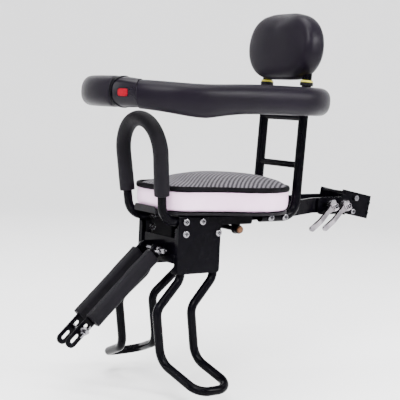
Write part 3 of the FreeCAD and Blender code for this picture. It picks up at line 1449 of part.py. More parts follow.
def support_bar_left():
    half = SUPPORT_WIDTH / 2
    bar = support_strip(0, half, SUPPORT_REACH + half)
    outline = slot_prism(
        Vector(half - SUPPORT_TAIL, 0, 0),
        Vector(SUPPORT_REACH, 0, 0),
        half,
        Vector(0, 1, 0),
        2 * SUPPORT_HALF_GAP,
    )
    bar = bar.common(outline)
    across = Vector(0, 1, 0)
    pivot_hole = Part.makeCylinder(PIVOT_RADIUS + RUNNING_CLEARANCE, 2 * SUPPORT_HALF_GAP, Vector(), across)
    bar = bar.cut(pivot_hole)
    slot_half = CROSS_BOLT_RADIUS + HOLE_CLEARANCE
    outer_start = SUPPORT_REACH - OUTER_SLOT_INSET
    slots = ((SUPPORT_REACH - INNER_SLOT_INSET, CROSS_BOLT_AT), (outer_start, outer_start + OUTER_SLOT_LENGTH))
    for start, end in slots:
        slot = slot_prism(Vector(start, 0, 0), Vector(end, 0, 0), slot_half, across, 2 * SUPPORT_HALF_GAP)
        bar = bar.cut(slot)
    return support_placed(bar)


def support_pad_left():
    half = SUPPORT_PAD_WIDTH / 2
    inner = SUPPORT_HALF_GAP - SUPPORT_PAD_THICKNESS / 2
    outer = SUPPORT_HALF_GAP + SUPPORT_PAD_THICKNESS / 2
    corners = [
        Vector(SUPPORT_PAD_START, inner, -half),
        Vector(SUPPORT_PAD_START, outer, -half),
        Vector(SUPPORT_PAD_START, outer, half),
        Vector(SUPPORT_PAD_START, inner, half),
    ]
    length = SUPPORT_PAD_END - SUPPORT_PAD_START
    pad = rounded_face(corners, [SUPPORT_PAD_CORNER] * 4).extrude(Vector(length, 0, 0))
    return support_placed(pad.cut(support_strip(CLEARANCE, SUPPORT_TAIL, SUPPORT_REACH)))


def cross_bolt():
    seat = SUPPORT_TIP_HALF_GAP + SUPPORT_SHEET / 2
    bolt = hex_bolt(CROSS_BOLT_RADIUS, 2 * seat + WING_HEIGHT + 3.0, NUT_ACROSS, 4.0)
    return support_placed(placed(bolt, Vector(CROSS_BOLT_AT, -seat, 0), Vector(0, -1, 0)))


def cross_wing_nut():
    seat = SUPPORT_TIP_HALF_GAP + SUPPORT_SHEET / 2
    return support_placed(placed(wing_nut(CROSS_BOLT_RADIUS), Vector(CROSS_BOLT_AT, seat, 0), Vector(0, 1, 0)))


def build():
    """Every piece of the seat by its name."""
    plate = clamp_plate_left()
    jaw = jaw_left()
    arm = arm_left()
    loop = foot_loop_left()
    bar = support_bar_left()
    pad = support_pad_left()
    screw_length = JAW_SCREW_LENGTH
    hex_screw = hex_bolt(JAW_SCREW_RADIUS, screw_length, JAW_HEX_ACROSS, JAW_HEX_HEIGHT)
    round_screw = pan_screw(JAW_SCREW_RADIUS, screw_length, JAW_PAN_RADIUS, JAW_PAN_HEIGHT)
    ring_bottom = SLEEVE_BOTTOM + SLEEVE_HEIGHT
    parts = {
        "clamp_plate_left": plate,
        "clamp_plate_right": mirrored(plate),
        "clamp_jaw_left": jaw,
        "clamp_jaw_right": mirrored(jaw),
        "jaw_hex_screws": jaw_screws(hex_screw, JAW_SCREW_RISE),
        "jaw_pan_screws": jaw_screws(round_screw, -JAW_SCREW_RISE),
        "clamp_spacer": clamp_spacer(),
        "clamp_rivets": clamp_rivets(),
        "clamp_tie_pin": clamp_tie_pin(),
        "rear_arm_left": arm,
        "rear_arm_right": mirrored(arm),
        "skewers": Part.makeCompound([skewer(x) for x in SKEWER_XS]),
        "cam_pins": Part.makeCompound([cam_pin(x) for x in SKEWER_XS]),
        "cam_washers": Part.makeCompound([cam_washer(x) for x in SKEWER_XS]),
        "skewer_nuts": Part.makeCompound([skewer_nut(x) for x in SKEWER_XS]),
        "quick_lever_rear": lever(SKEWER_XS[0]),
        "quick_lever_front": lever(SKEWER_XS[1]),
        "base_bracket": base_bracket(),
        "pan_screws": pan_screws(),
        "seat_pan": seat_pan(),
        "seat_cushion": seat_cushion(),
        "tie_bolt": tie_bolt(),
        "tie_caps": tie_rings(BRACKET_HALF_WIDTH, TIE_CAP_LENGTH, TIE_CAP_RADIUS),
        "tie_ends": tie_rings(tie_cap_length(), TIE_END_LENGTH, TIE_END_RADIUS),
        "back_frame": back_frame(),
        "back_bolts": back_bolts(),
        "back_nuts": nuts_on(
            [FRONT_X - setback for setback in BACK_BOLT_SETBACKS], RUN_Z, ARM_MIDDLE_Y - ARM_SHEET / 2
        ),
        "upright_sleeves": rings_on_uprights(SLEEVE_RADIUS, SLEEVE_BOTTOM, SLEEVE_HEIGHT),
        "yellow_rings": rings_on_uprights(RING_RADIUS_OUT, ring_bottom, RING_HEIGHT),
        "headrest_pad": headrest_pad(),
        "guard_pad": guard_pad(),
        "guard_core": guard_core(),
        "guard_screws": guard_screws(),
        "latch_collar": latch_collar(),
        "release_button": release_button(),
        "button_spring": button_spring(),
        "hinge_collar": hinge_collar(),
        "hinge_pin": hinge_pin(),
        "gate_pad": gate_pad(),
        "gate_core": tube_along(gate_core_path(), CORE_RADIUS),
        "gate_tongue": gate_tongue(),
        "gate_knuckle": gate_knuckle(),
        "handle_tube": handle_tube(),
        "handle_grip": handle_grip(),
        "handle_bolts": bracket_bolts(HANDLE_BOLT_XS, HANDLE_RUN_Z),
        "handle_nuts": nuts_on(HANDLE_BOLT_XS, HANDLE_RUN_Z, bracket_nut_y()),
        "foot_loop_left": loop,
        "foot_loop_right": mirrored(loop),
        "foot_bolts": bracket_bolts(FOOT_BOLT_XS, FOOT_BOLT_Z),
        "foot_nuts": nuts_on(FOOT_BOLT_XS, FOOT_BOLT_Z, bracket_nut_y()),
        "pivot_bracket": pivot_bracket(),
        "pivot_bolt": pivot_bolt(),
        "pivot_wing_nut": pivot_wing_nut(),
        "support_bar_left": bar,
        "support_bar_right": mirrored(bar),
        "support_pad_left": pad,
        "support_pad_right": mirrored(pad),
        "cross_bolt": cross_bolt(),
        "cross_wing_nut": cross_wing_nut(),
    }
    return parts


os.makedirs("parts", exist_ok=True)
for name, shape in build().items():
    shape.exportStep("parts/" + name + ".step")
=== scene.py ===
import json
import math

import bmesh
import bpy
import numpy as np
from mathutils import Matrix, Vector, noise


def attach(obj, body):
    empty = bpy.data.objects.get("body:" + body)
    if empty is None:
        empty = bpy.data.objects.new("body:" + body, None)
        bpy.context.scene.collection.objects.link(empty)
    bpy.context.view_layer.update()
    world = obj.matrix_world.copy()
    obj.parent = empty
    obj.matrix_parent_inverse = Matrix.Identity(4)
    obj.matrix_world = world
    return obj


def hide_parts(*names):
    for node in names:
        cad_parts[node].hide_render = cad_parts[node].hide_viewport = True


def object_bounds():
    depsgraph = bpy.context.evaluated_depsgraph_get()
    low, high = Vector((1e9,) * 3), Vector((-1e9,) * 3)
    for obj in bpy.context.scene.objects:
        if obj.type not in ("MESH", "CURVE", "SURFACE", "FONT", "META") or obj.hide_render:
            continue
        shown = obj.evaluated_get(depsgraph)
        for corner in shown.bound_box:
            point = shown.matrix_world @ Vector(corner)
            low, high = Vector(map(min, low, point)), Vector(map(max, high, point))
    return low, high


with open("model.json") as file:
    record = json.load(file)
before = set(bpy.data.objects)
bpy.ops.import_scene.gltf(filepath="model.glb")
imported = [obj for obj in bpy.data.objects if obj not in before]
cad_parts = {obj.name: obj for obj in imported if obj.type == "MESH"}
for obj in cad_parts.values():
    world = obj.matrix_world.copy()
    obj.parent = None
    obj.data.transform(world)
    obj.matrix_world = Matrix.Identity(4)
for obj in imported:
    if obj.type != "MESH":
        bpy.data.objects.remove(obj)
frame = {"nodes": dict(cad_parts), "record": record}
cad_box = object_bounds()

MM = 0.001
ACROSS = Vector((1, 0, 0))
SIDEWAYS = Vector((0, 1, 0))
UP = Vector((0, 0, 1))
SIDES = ((1, "left"), (-1, "right"))

# Sizes are in millimetres and angles in degrees, in the seat's own frame, where a name says nothing else

# Guard ring
RING_X = 399.514
RING_HALF = 112.0
RING_CORNER = 80.0
RING_REAR_X = 139.514
RING_Z = 181.0
HINGE_END_X = 369.514
HINGE_TAPER = 45.0
PAD_HALF_WIDTH = 21.0
PAD_HALF_HEIGHT = 24.0
PAD_NARROWER = 2.0
PAD_LOWER = 3.0
PAD_END_ROUND = 1.6
PAD_STEP = 4.0
BULGE_X = RING_X + 29.5
BULGE = 10.5
BULGE_SPAN = 68.0
TOP_LOW = 2.5
TOP_DIP = 4.0
TOP_DIP_X = 410.0
TOP_DIP_SPAN = 70.0
SECTION_POWER = 0.85
SECTION_POINTS = 44
RING_LUMP_SIZE = 38.0

# Gate, latch collar and button
GATE_ENDS = (17.53, -77.21)
GATE_HALF_WIDTH = 20.0
GATE_ABOVE = 24.5
GATE_BELOW = 22.0
GATE_END_ROUND = 3.0
LATCH_ANGLE = 20.5
COLLAR_ANGLE = 37.382
COLLAR_LOWER = 3.5
GASKET_SETBACK = 1.5
GASKET_BOW = 4.9
GASKET_SECTION = [(-0.5, -2.1), (0.6, -2.1), (0.9, -1.4), (0.9, 1.4), (0.6, 2.1), (-0.5, 2.1)]
GASKET_STEPS = 96
BUTTON_ANGLE = 28.174
BUTTON_HALF = (8.0, 5.5)
BUTTON_CORNER = 3.2
BUTTON_EDGE = 1.4
BUTTON_REACH = (9.0, 20.6)

# Back frame and headrest
BACK_X = 168.0
BACK_LEAN = math.radians(3.0)
BACK_HALF = 52.0
UPRIGHT_R = 8.0
UPRIGHT_GAP = 0.4
CROSSBAR_R = 5.5
CROSSBAR_HEIGHTS = (74.0, 153.0)
WELD_R = 1.25
WELD_RIPPLE = 0.35
WELD_RIPPLES = 9
HEADREST_Z = 215.0
HEADREST_HALF = 82.5
HEADREST_HEIGHT = 109.0
HEADREST_ROUND = 52.0
HEADREST_AHEAD = 9.0
HEADREST_DEEP = 22.5
HEADREST_EDGE = 14.0
HEADREST_CROWN = [(2.0, 44), (1.9, 36), (1.5, 28), (0.8, 20)]
HEADREST_SEWN = (10.0, 14.0)
HEADREST_SWELL = 2.5

# Cushion: its plan gives shares of the length with half widths
CUSHION_FRONT = 428.0
CUSHION_LENGTH = 248.0
CUSHION_NOSE = 70.0
CUSHION_REAR = 105.0
CUSHION_PLAN = [
    (0.0, 0.0),
    (0.02, 0.53 * CUSHION_NOSE),
    (0.1, 0.9 * CUSHION_NOSE),
    (0.225, 1.04 * CUSHION_NOSE),
    (0.37, 0.79 * CUSHION_REAR),
    (0.53, 0.95 * CUSHION_REAR),
    (0.69, CUSHION_REAR),
    (0.85, 0.86 * CUSHION_REAR),
    (0.965, 0.5 * CUSHION_REAR),
    (1.0, 0.0),
]
CUSHION_POINTS = 240
CUSHION_LOW = 2.3
CUSHION_SEAM = 36.3
CUSHION_SIDE = [
    (0.0, 9.0), (0.4, 4.0), (1.6, 1.6), (4.0, 0.9), (9.0, 0.6),
    (15.0, 0.5), (22.0, 0.5), (27.5, 0.6), (31.0, 0.9), (33.0, 1.5),
]
CUSHION_SOFT = (2.0, 32.0)
CUSHION_CROWN = 19.0
CROWN_START = 0.6
CROWN_POWER = 4.0
CROWN_SCALES = (
    0.985, 0.972, 0.955, 0.93, 0.9, 0.86, 0.81, 0.75, 0.68, 0.6, 0.51, 0.41, 0.3, 0.18, 0.07,
)
CROWN_X = 299.0
SHOULDER_X = 340.0
SHOULDER_RUN = 38.0
NOSE_DROOP = 0.55
CUSHION_SWELL = 3.0
SEWN_BASE = 3.0
SEWN_INSET = 3.0
SEWN_HALF_HEIGHT = 4.0
SEWN_REACH = 6.0
PIPING_R = 3.0
PIPING_INSET = 1.9
PIPING_RISE = 1.6
PIPING_TALL = 1.45
STITCH_COUNT = 132
STITCH_BELOW = 5.0
STITCH_SIDES = 6
STITCH_SHAPE = [(-1.7, 0.15), (-1.2, 0.42), (0.0, 0.5), (1.2, 0.42), (1.7, 0.15)]

# Handle grip and support pads
HANDLE_LINE = [(428, 48, -13), (446, 58, 143)]
HANDLE_ARCH = 53.0
GRIP_LOW_Z = 27.0
GRIP_R = 12.0
GRIP_END_ROUND = 1.6
SUPPORT_PIVOT = Vector((417.0, 0.0, -60.0))
SUPPORT_DROP = math.radians(43.0)
SUPPORT_Y = 20.0
SUPPORT_PAD = (12.0, 152.0)
SUPPORT_HALF = (9.0, 12.0)
SUPPORT_CORNER = 6.0
SUPPORT_END_ROUND = 1.5

# Bolt heads, tie bolt and cam levers: profiles give radius and outward distance
# Nodes whose domed bolt heads carry a black disc as painted shade of a hex socket
SOCKET_SHADE_NODES = {
    "foot_bolts": "seat",
    "handle_bolts": "seat",
    "back_bolts": "seat",
    "jaw_hex_screws": "clamp",
    "jaw_pan_screws": "clamp",
}
HEAD_SPREAD = 12.0
HEAD_TOP = 0.6
# Profile of that black disc, proud of the dome: painted shade in place of the socket's hollow
SOCKET_SHADE_DISC = [(2.6, -0.9), (2.6, 0.1), (2.1, 0.1), (1.7, -0.1), (0.2, -0.1)]
TIE_TIP = [(4.9, -0.6), (4.9, 0.1), (4.5, 0.6), (3.4, 1.0), (1.8, 1.2), (0.2, 1.25)]
CAM_CREST_Y = 47.6
SKEWER_Z = 3.0
LEVER_XS = {"front": 70.0, "rear": 40.0}
LEVER_CAP = [
    (5.0, -1.2), (5.0, 0.0), (4.7, 0.4), (4.4, 0.6), (4.1, 0.6), (3.9, 0.3), (3.9, -0.4), (0.2, -0.4),
]
LEVER_RING = [(3.85, -0.3), (3.85, 0.05), (3.6, 0.15), (0.2, 0.15)]
LEVER_KNOB = [(1.4, 0.0), (1.4, 0.5), (1.1, 0.7), (0.2, 0.75)]

# Ribs of the woven top and the cloth solver, with lengths in metres
RIB_PITCH = 0.0060
RIB_ACROSS = (-0.66, 0.751, 0.0)
RIB_WOBBLE = 0.0016
RIB_DARK = (0.018, 0.016, 0.020)
RIB_LIGHT = (0.112, 0.104, 0.118)
CLOTH_VOXEL = 0.0045
CLOTH_PRESSURE = 4.0
CLOTH_FRAMES = 20
CLOTH_EASE = 16

# Studio: the floor in millimetres, lights as place, size and power in metres and watts, the photo's camera
FLOOR_BELOW = 25.0
FLOOR_X = 268.0
FLOOR_FLAT = (0.1, 800, 1800, 2600)
FLOOR_CURVE = 1600
FLOOR_WALL = 4600
LIGHT_TARGET = (0.27, 0.0, 0.05)
LIGHTS = {
    "key": ((1.7, 1.3, 1.7), (0.8, 0.8), 75),
    "overhead": ((0.3, 0.2, 2.4), (2.2, 2.2), 150),
    "front_strip": ((2.2, -0.5, 0.9), (0.3, 1.6), 14),
    "rear_strip": ((-0.68, 1.55, 0.88), (0.3, 0.7), 42),
    "bulge_light": ((1.0, 1.4, 1.25), (0.45, 0.35), 14),
    "right_fill": ((0.4, -1.8, 2.0), (1.8, 1.4), 16),
}
WORLD_COLOUR = (1.0, 0.995, 1.0, 1)
WORLD_STRENGTH = 0.75
CAMERA_PLACE = (1.2842, 1.3552, 0.1728)
CAMERA_RIGHT = (-0.8181, 0.5736, 0.0429)
CAMERA_AHEAD = (-0.5748, -0.8127, -0.0953)
HALF_IMAGE_PX = 200
FOCAL_PX = 1030


# Mesh helpers


def finish_mesh(name, verts, faces, sharp=None):
    """New object from points in millimetres, with outward normals and smooth shading."""
    mesh = bpy.data.meshes.new(name)
    mesh.from_pydata([Vector(v) * MM for v in verts], [], faces)
    build = bmesh.new()
    build.from_mesh(mesh)
    bmesh.ops.recalc_face_normals(build, faces=build.faces)
    build.to_mesh(mesh)
    build.free()
    mesh.shade_smooth()
    if sharp is not None:
        mesh.set_sharp_from_angle(angle=math.radians(sharp))
    obj = bpy.data.objects.new(name, mesh)
    bpy.context.collection.objects.link(obj)
    return obj


def ring_faces(total, count, first=0, looped=False, capped=True):
    """Faces over rings of points that are numbered one ring after the other."""
    faces = []
    for row in range(total if looped else total - 1):
        near = first + row * count
        far = first + (row + 1) % total * count
        for index in range(count):
            after = (index + 1) % count
            faces.append((near + index, near + after, far + after, far + index))
    if capped and not looped:
        last = first + (total - 1) * count
        faces.append(tuple(range(first, first + count)))
        faces.append(tuple(range(last, last + count)))
    return faces


def skin(name, rings, capped=True, looped=False, sharp=None):
    """Surface over closed rings of points, joined end to end where it is looped."""
    verts = [point for ring in rings for point in ring]
    faces = ring_faces(len(rings), len(rings[0]), 0, looped, capped)
    return finish_mesh(name, verts, faces, sharp)


def round_ring(middle, across, up, width, height, count):
    """Closed ring of points round a middle, in the plane of two directions."""
    turns = [2 * math.pi * index / count for index in range(count)]
    return [middle + across * (width * math.cos(turn)) + up * (height * math.sin(turn)) for turn in turns]


def edge_rows(radius, angles):
    """Pairs of distances from both faces over the quarter circle of a rounded edge."""
    turns = [math.radians(angle) for angle in angles]
    return [(radius * (1 - math.cos(turn)), radius * (1 - math.sin(turn))) for turn in turns]


def rounded_ends(length, radius, step):
    """Distances along a pad with the inset of its section, rounding both ends."""
    start = edge_rows(radius, (0, 25, 45, 65, 90))
    count = max(int((length - 2 * radius) / step), 2)
    middle = [radius + (length - 2 * radius) * index / count for index in range(1, count)]
    rows = start + [(along, 0.0) for along in middle]
    return rows + [(length - along, inset) for along, inset in start[::-1]]


def lump(point, size, depth):
    """Slow unevenness of hand-fitted foam, the same on each run."""
    return depth * noise.noise(Vector(point) / size)


def bent_line(points, radii, step):
    """Points along straight runs joined by tangent arcs, with the direction at each."""
    points = [Vector(point) for point in points]
    marks = [points[0]]
    for before, corner, after, radius in zip(points, points[1:], points[2:], radii):
        back = (before - corner).normalized()
        ahead = (after - corner).normalized()
        half = (math.pi - back.angle(ahead)) / 2
        reach = radius * math.tan(half)
        inward = (back + ahead).normalized()
        centre = corner + inward * (radius / math.cos(half))
        start = corner + back * reach - centre
        axis = start.cross(corner + ahead * reach - centre).normalized()
        turns = max(int(2 * half * radius / step), 6)
        for index in range(turns + 1):
            spin = Matrix.Rotation(2 * half * index / turns, 3, axis)
            marks.append(centre + spin @ start)
    marks.append(points[-1])
    line = []
    for first, second in zip(marks, marks[1:]):
        count = max(int((second - first).length / step), 1)
        line += [first.lerp(second, index / count) for index in range(count)]
    return line + [marks[-1]]


def along_line(line, distance):
    """Point and direction at a distance along a line of points."""
    for first, second in zip(line, line[1:]):
        run = (second - first).length
        if distance <= run:
            return first.lerp(second, distance / run), (second - first).normalized()
        distance -= run
    return line[-1], (line[-1] - line[-2]).normalized()


def line_length(line):
    return sum((second - first).length for first, second in zip(line, line[1:]))


def loop_normals(loop):
    """Outward directions in plan of a closed loop that runs anticlockwise."""
    normals = []
    for index, point in enumerate(loop):
        ahead = loop[(index + 1) % len(loop)] - loop[index - 1]
        normals.append(Vector((ahead.y, -ahead.x, 0)).normalized())
    return normals


def even_loop(fine, count):
    """Points at even distances along a closed loop of fine points."""
    fine = np.array(fine + [fine[0]])
    steps = np.concatenate([[0], np.cumsum(np.linalg.norm(np.diff(fine, axis=0), axis=1))])
    wanted = np.linspace(0, steps[-1], count, endpoint=False)
    xs = np.interp(wanted, steps, fine[:, 0])
    ys = np.interp(wanted, steps, fine[:, 1])
    return [Vector((x, y, 0)) for x, y in zip(xs, ys)]


def smooth_loop(points, count):
    """Closed curve through points, evenly spaced along its length."""
    fine = []
    total = len(points)
    for index in range(total):
        p0, p1, p2, p3 = (np.array(points[(index + shift) % total]) for shift in (-1, 0, 1, 2))
        for part in range(24):
            t = part / 24
            fine.append(
                0.5
                * (
                    2 * p1
                    + (p2 - p0) * t
                    + (2 * p0 - 5 * p1 + 4 * p2 - p3) * t**2
                    + (3 * p1 - p0 - 3 * p2 + p3) * t**3
                )
            )
    return even_loop(fine, count)


def rounded_loop(half_width, half_height, radius, count):
    """Rounded rectangle round the origin in plan, evenly spaced."""
    fine = []
    for centre_x, centre_y, first in ((1, 1, 0), (-1, 1, 90), (-1, -1, 180), (1, -1, 270)):
        for step in range(25):
            turn = math.radians(first + 90 * step / 24)
            fine.append(
                (
                    centre_x * (half_width - radius) + radius * math.cos(turn),
                    centre_y * (half_height - radius) + radius * math.sin(turn),
                )
            )
    return even_loop(fine, count)


# Materials


def new_material(name):
    mat = bpy.data.materials.new(name)
    mat.use_nodes = True
    nodes = mat.node_tree.nodes
    return mat, nodes, mat.node_tree.links, nodes["Principled BSDF"]


def add(nodes, kind, **values):
    """New shader node with its own settings and socket values."""
    node = nodes.new(kind)
    for key, value in values.items():
        if hasattr(node, key):
            setattr(node, key, value)
        else:
            node.inputs[key.replace("_", " ")].default_value = value
    return node


def noise_at(nodes, links, coords, scale, detail=4.0):
    texture = add(nodes, "ShaderNodeTexNoise", Scale=scale, Detail=detail)
    links.new(coords, texture.inputs["Vector"])
    return texture.outputs["Fac"]


def ramp(nodes, links, source, dark, light, low=0.3, high=0.7):
    blend = nodes.new("ShaderNodeValToRGB")
    blend.color_ramp.elements[0].position = low
    blend.color_ramp.elements[0].color = (*dark, 1)
    blend.color_ramp.elements[1].position = high
    blend.color_ramp.elements[1].color = (*light, 1)
    links.new(source, blend.inputs["Fac"])
    return blend.outputs["Color"]


def span(nodes, links, source, low, high):
    ranged = nodes.new("ShaderNodeMapRange")
    ranged.inputs["To Min"].default_value = low
    ranged.inputs["To Max"].default_value = high
    links.new(source, ranged.inputs["Value"])
    return ranged.outputs["Result"]


def surface(name, dark, light, rough, patch, grain, depth, edge=0.0, cells=False, **sockets):
    """Patchy colour, uneven gloss, a fine grain, and edges that catch the light."""
    mat, nodes, links, shader = new_material(name)
    coords = nodes.new("ShaderNodeTexCoord").outputs["Object"]
    patches = noise_at(nodes, links, coords, patch)
    links.new(ramp(nodes, links, patches, dark, light), shader.inputs["Base Color"])
    gloss = noise_at(nodes, links, coords, patch * 2.7)
    links.new(span(nodes, links, gloss, *rough), shader.inputs["Roughness"])
    if cells:
        texture = add(nodes, "ShaderNodeTexVoronoi", Scale=grain)
        links.new(coords, texture.inputs["Vector"])
        height = texture.outputs["Distance"]
    else:
        height = noise_at(nodes, links, coords, grain, 2.0)
    bump = add(nodes, "ShaderNodeBump", Strength=depth, Distance=0.0006)
    links.new(height, bump.inputs["Height"])
    if edge:
        bevel = add(nodes, "ShaderNodeBevel", samples=4, Radius=edge)
        links.new(bevel.outputs["Normal"], bump.inputs["Normal"])
    links.new(bump.outputs["Normal"], shader.inputs["Normal"])
    for key, value in sockets.items():
        shader.inputs[key.replace("_", " ")].default_value = value
    return mat


def woven_top(name):
    """Grey spacer mesh with raised diagonal ribs and small open cells."""
    mat, nodes, links, shader = new_material(name)
    coords = nodes.new("ShaderNodeTexCoord").outputs["Object"]
    across = add(nodes, "ShaderNodeVectorMath", operation="DOT_PRODUCT")
    across.inputs[1].default_value = RIB_ACROSS
    links.new(coords, across.inputs[0])
    wobble = noise_at(nodes, links, coords, 60.0)
    drift = add(nodes, "ShaderNodeMath", operation="MULTIPLY_ADD")
    drift.inputs[1].default_value = RIB_WOBBLE
    links.new(wobble, drift.inputs[0])
    links.new(across.outputs["Value"], drift.inputs[2])
    phase = add(nodes, "ShaderNodeMath", operation="MULTIPLY")
    phase.inputs[1].default_value = 2 * math.pi / RIB_PITCH
    links.new(drift.outputs["Value"], phase.inputs[0])
    wave = add(nodes, "ShaderNodeMath", operation="SINE")
    links.new(phase.outputs["Value"], wave.inputs[0])
    rib = span(nodes, links, wave.outputs["Value"], 0.0, 1.0)
    rib.node.inputs["From Min"].default_value = -1.0
    cells = add(nodes, "ShaderNodeTexVoronoi", Scale=520.0)
    links.new(coords, cells.inputs["Vector"])
    shade = add(nodes, "ShaderNodeMath", operation="MULTIPLY_ADD")
    shade.inputs[1].default_value = -0.45
    links.new(cells.outputs["Distance"], shade.inputs[0])
    links.new(rib, shade.inputs[2])
    colour = ramp(nodes, links, shade.outputs["Value"], RIB_DARK, RIB_LIGHT, 0.0, 0.65)
    links.new(colour, shader.inputs["Base Color"])
    links.new(span(nodes, links, cells.outputs["Distance"], 0.5, 0.85), shader.inputs["Roughness"])
    height = add(nodes, "ShaderNodeMath", operation="MULTIPLY_ADD")
    height.inputs[1].default_value = -0.35
    links.new(cells.outputs["Distance"], height.inputs[0])
    links.new(rib, height.inputs[2])
    bump = add(nodes, "ShaderNodeBump", Strength=0.8, Distance=0.0014)
    links.new(height.outputs["Value"], bump.inputs["Height"])
    links.new(bump.outputs["Normal"], shader.inputs["Normal"])
    shader.inputs["Specular IOR Level"].default_value = 0.2
    return mat


def leatherette(name):
    """Pale coated cloth: fine grain over slow pull lines along its length."""
    mat, nodes, links, shader = new_material(name)
    coords = nodes.new("ShaderNodeTexCoord").outputs["Object"]
    patches = noise_at(nodes, links, coords, 14.0)
    colour = ramp(nodes, links, patches, (0.74, 0.48, 0.69), (0.85, 0.61, 0.81))
    links.new(colour, shader.inputs["Base Color"])
    links.new(span(nodes, links, patches, 0.32, 0.5), shader.inputs["Roughness"])
    grain = add(nodes, "ShaderNodeTexVoronoi", Scale=900.0)
    links.new(coords, grain.inputs["Vector"])
    stretch = add(nodes, "ShaderNodeMapping")
    stretch.inputs["Scale"].default_value = (22.0, 22.0, 120.0)
    links.new(coords, stretch.inputs["Vector"])
    pulls = noise_at(nodes, links, stretch.outputs["Vector"], 1.0, 2.0)
    fine = add(nodes, "ShaderNodeBump", Strength=0.25, Distance=0.0002)
    links.new(grain.outputs["Distance"], fine.inputs["Height"])
    broad = add(nodes, "ShaderNodeBump", Strength=0.35, Distance=0.0012)
    links.new(pulls, broad.inputs["Height"])
    links.new(fine.outputs["Normal"], broad.inputs["Normal"])
    links.new(broad.outputs["Normal"], shader.inputs["Normal"])
    return mat


def brushed(name, dark, light, rough):
    """Metal with fine drawn lines."""
    mat, nodes, links, shader = new_material(name)
    coords = nodes.new("ShaderNodeTexCoord").outputs["Object"]
    stretch = add(nodes, "ShaderNodeMapping")
    stretch.inputs["Scale"].default_value = (60.0, 900.0, 900.0)
    links.new(coords, stretch.inputs["Vector"])
    lines = noise_at(nodes, links, stretch.outputs["Vector"], 1.0, 3.0)
    patches = noise_at(nodes, links, coords, 45.0)
    links.new(ramp(nodes, links, patches, dark, light), shader.inputs["Base Color"])
    links.new(span(nodes, links, lines, *rough), shader.inputs["Roughness"])
    bump = add(nodes, "ShaderNodeBump", Strength=0.12, Distance=0.0002)
    bevel = add(nodes, "ShaderNodeBevel", samples=4, Radius=0.0005)
    links.new(lines, bump.inputs["Height"])
    links.new(bevel.outputs["Normal"], bump.inputs["Normal"])
    links.new(bump.outputs["Normal"], shader.inputs["Normal"])
    shader.inputs["Metallic"].default_value = 1.0
    return mat


# Each finish: dark and light colour, range of roughness, scales of patches and grain, depth of grain
POWDER = surface(
    "black_powder_coat",
    (0.0006, 0.0005, 0.0011), (0.0013, 0.0011, 0.0021), (0.14, 0.25), 9.0, 700.0, 0.12,
    edge=0.0007, Specular_IOR_Level=0.035,
)
ZINC = surface(
    "bright_zinc",
    (0.11, 0.108, 0.12), (0.27, 0.262, 0.28), (0.10, 0.22), 120.0, 1500.0, 0.05,
    edge=0.0004, Metallic=1.0,
)
ALLOY = brushed("polished_alloy", (0.13, 0.12, 0.135), (0.34, 0.31, 0.335), (0.14, 0.30))
SKIN = surface(
    "moulded_skin",
    (0.0026, 0.0016, 0.0038), (0.0042, 0.0027, 0.0060), (0.28, 0.40), 12.0, 1100.0, 0.22,
    cells=True, Specular_IOR_Level=0.08,
)
FOAM = surface(
    "foam_rubber",
    (0.0020, 0.0016, 0.0028), (0.0038, 0.0031, 0.0050), (0.45, 0.62), 30.0, 1400.0, 0.5,
    cells=True, Specular_IOR_Level=0.08,
)
SIDE = leatherette("pale_leatherette")
TOP = woven_top("ribbed_mesh")
PIPING = surface(
    "piping_cord",
    (0.0008, 0.0007, 0.0011), (0.0034, 0.0029, 0.0040), (0.5, 0.7), 60.0, 1600.0, 0.6,
    cells=True, Specular_IOR_Level=0.04,
)
THREAD = surface("pale_thread", (0.62, 0.50, 0.58), (0.80, 0.70, 0.77), (0.5, 0.7), 200.0, 3000.0, 0.5)
MATTE = surface(
    "matte_plastic",
    (0.0026, 0.0022, 0.0032), (0.0050, 0.0044, 0.0058), (0.42, 0.58), 30.0, 1300.0, 0.25,
    edge=0.0006, Specular_IOR_Level=0.1,
)
GLOSS = surface(
    "gloss_plastic",
    (0.0030, 0.0021, 0.0042), (0.0050, 0.0036, 0.0066), (0.2, 0.3), 14.0, 500.0, 0.06,
    edge=0.0006, Specular_IOR_Level=0.14,
)
RED = surface(
    "red_plastic",
    (0.15, 0.0006, 0.006), (0.21, 0.0012, 0.010), (0.24, 0.36), 90.0, 900.0, 0.08,
    edge=0.0006, Specular_IOR_Level=0.06,
)
YELLOW = surface(
    "yellow_plastic",
    (0.46, 0.40, 0.03), (0.58, 0.51, 0.06), (0.24, 0.38), 90.0, 900.0, 0.08,
    edge=0.0005, Specular_IOR_Level=0.25,
)
BRASS = surface(
    "dull_brass",
    (0.07, 0.035, 0.020), (0.15, 0.08, 0.048), (0.28, 0.46), 110.0, 1500.0, 0.15,
    edge=0.0004, Metallic=1.0,
)
FLOOR = surface(
    "pale_floor",
    (0.93, 0.93, 0.935), (0.95, 0.95, 0.955), (0.7, 0.8), 2.0, 60.0, 0.02,
    Specular_IOR_Level=0.2,
)
SLOT_LOOKS = {
    "black_steel": POWDER,
    "zinc_steel": ZINC,
    "polished_alloy": ALLOY,
    "soft_skin": SKIN,
    "foam_rubber": FOAM,
    "cushion_cover": SIDE,
    "black_plastic": MATTE,
    "gloss_black": GLOSS,
    "red_button": RED,
    "yellow_plastic": YELLOW,
    "brown_brass": BRASS,
}
NODE_LOOKS = {"tie_bolt": POWDER, "clamp_tie_pin": POWDER, "clamp_rivets": POWDER}


def dress_nodes():
    """Give every carried-over piece the finish of its slot, or its own where the photo shows black."""
    slots = {entry["node"]: entry["material_slot"] for entry in frame["record"]["subparts"]}
    for name, obj in frame["nodes"].items():
        obj.data.materials.clear()
        obj.data.materials.append(NODE_LOOKS.get(name, SLOT_LOOKS[slots[name]]))


def keep(obj, look, body, node=None):
    """Finish a new piece: its look, what it rides on, and what it stands for."""
    if look is not None:
        obj.data.materials.append(look)
    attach(obj, body)
    if node:
        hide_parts(node)
    return obj


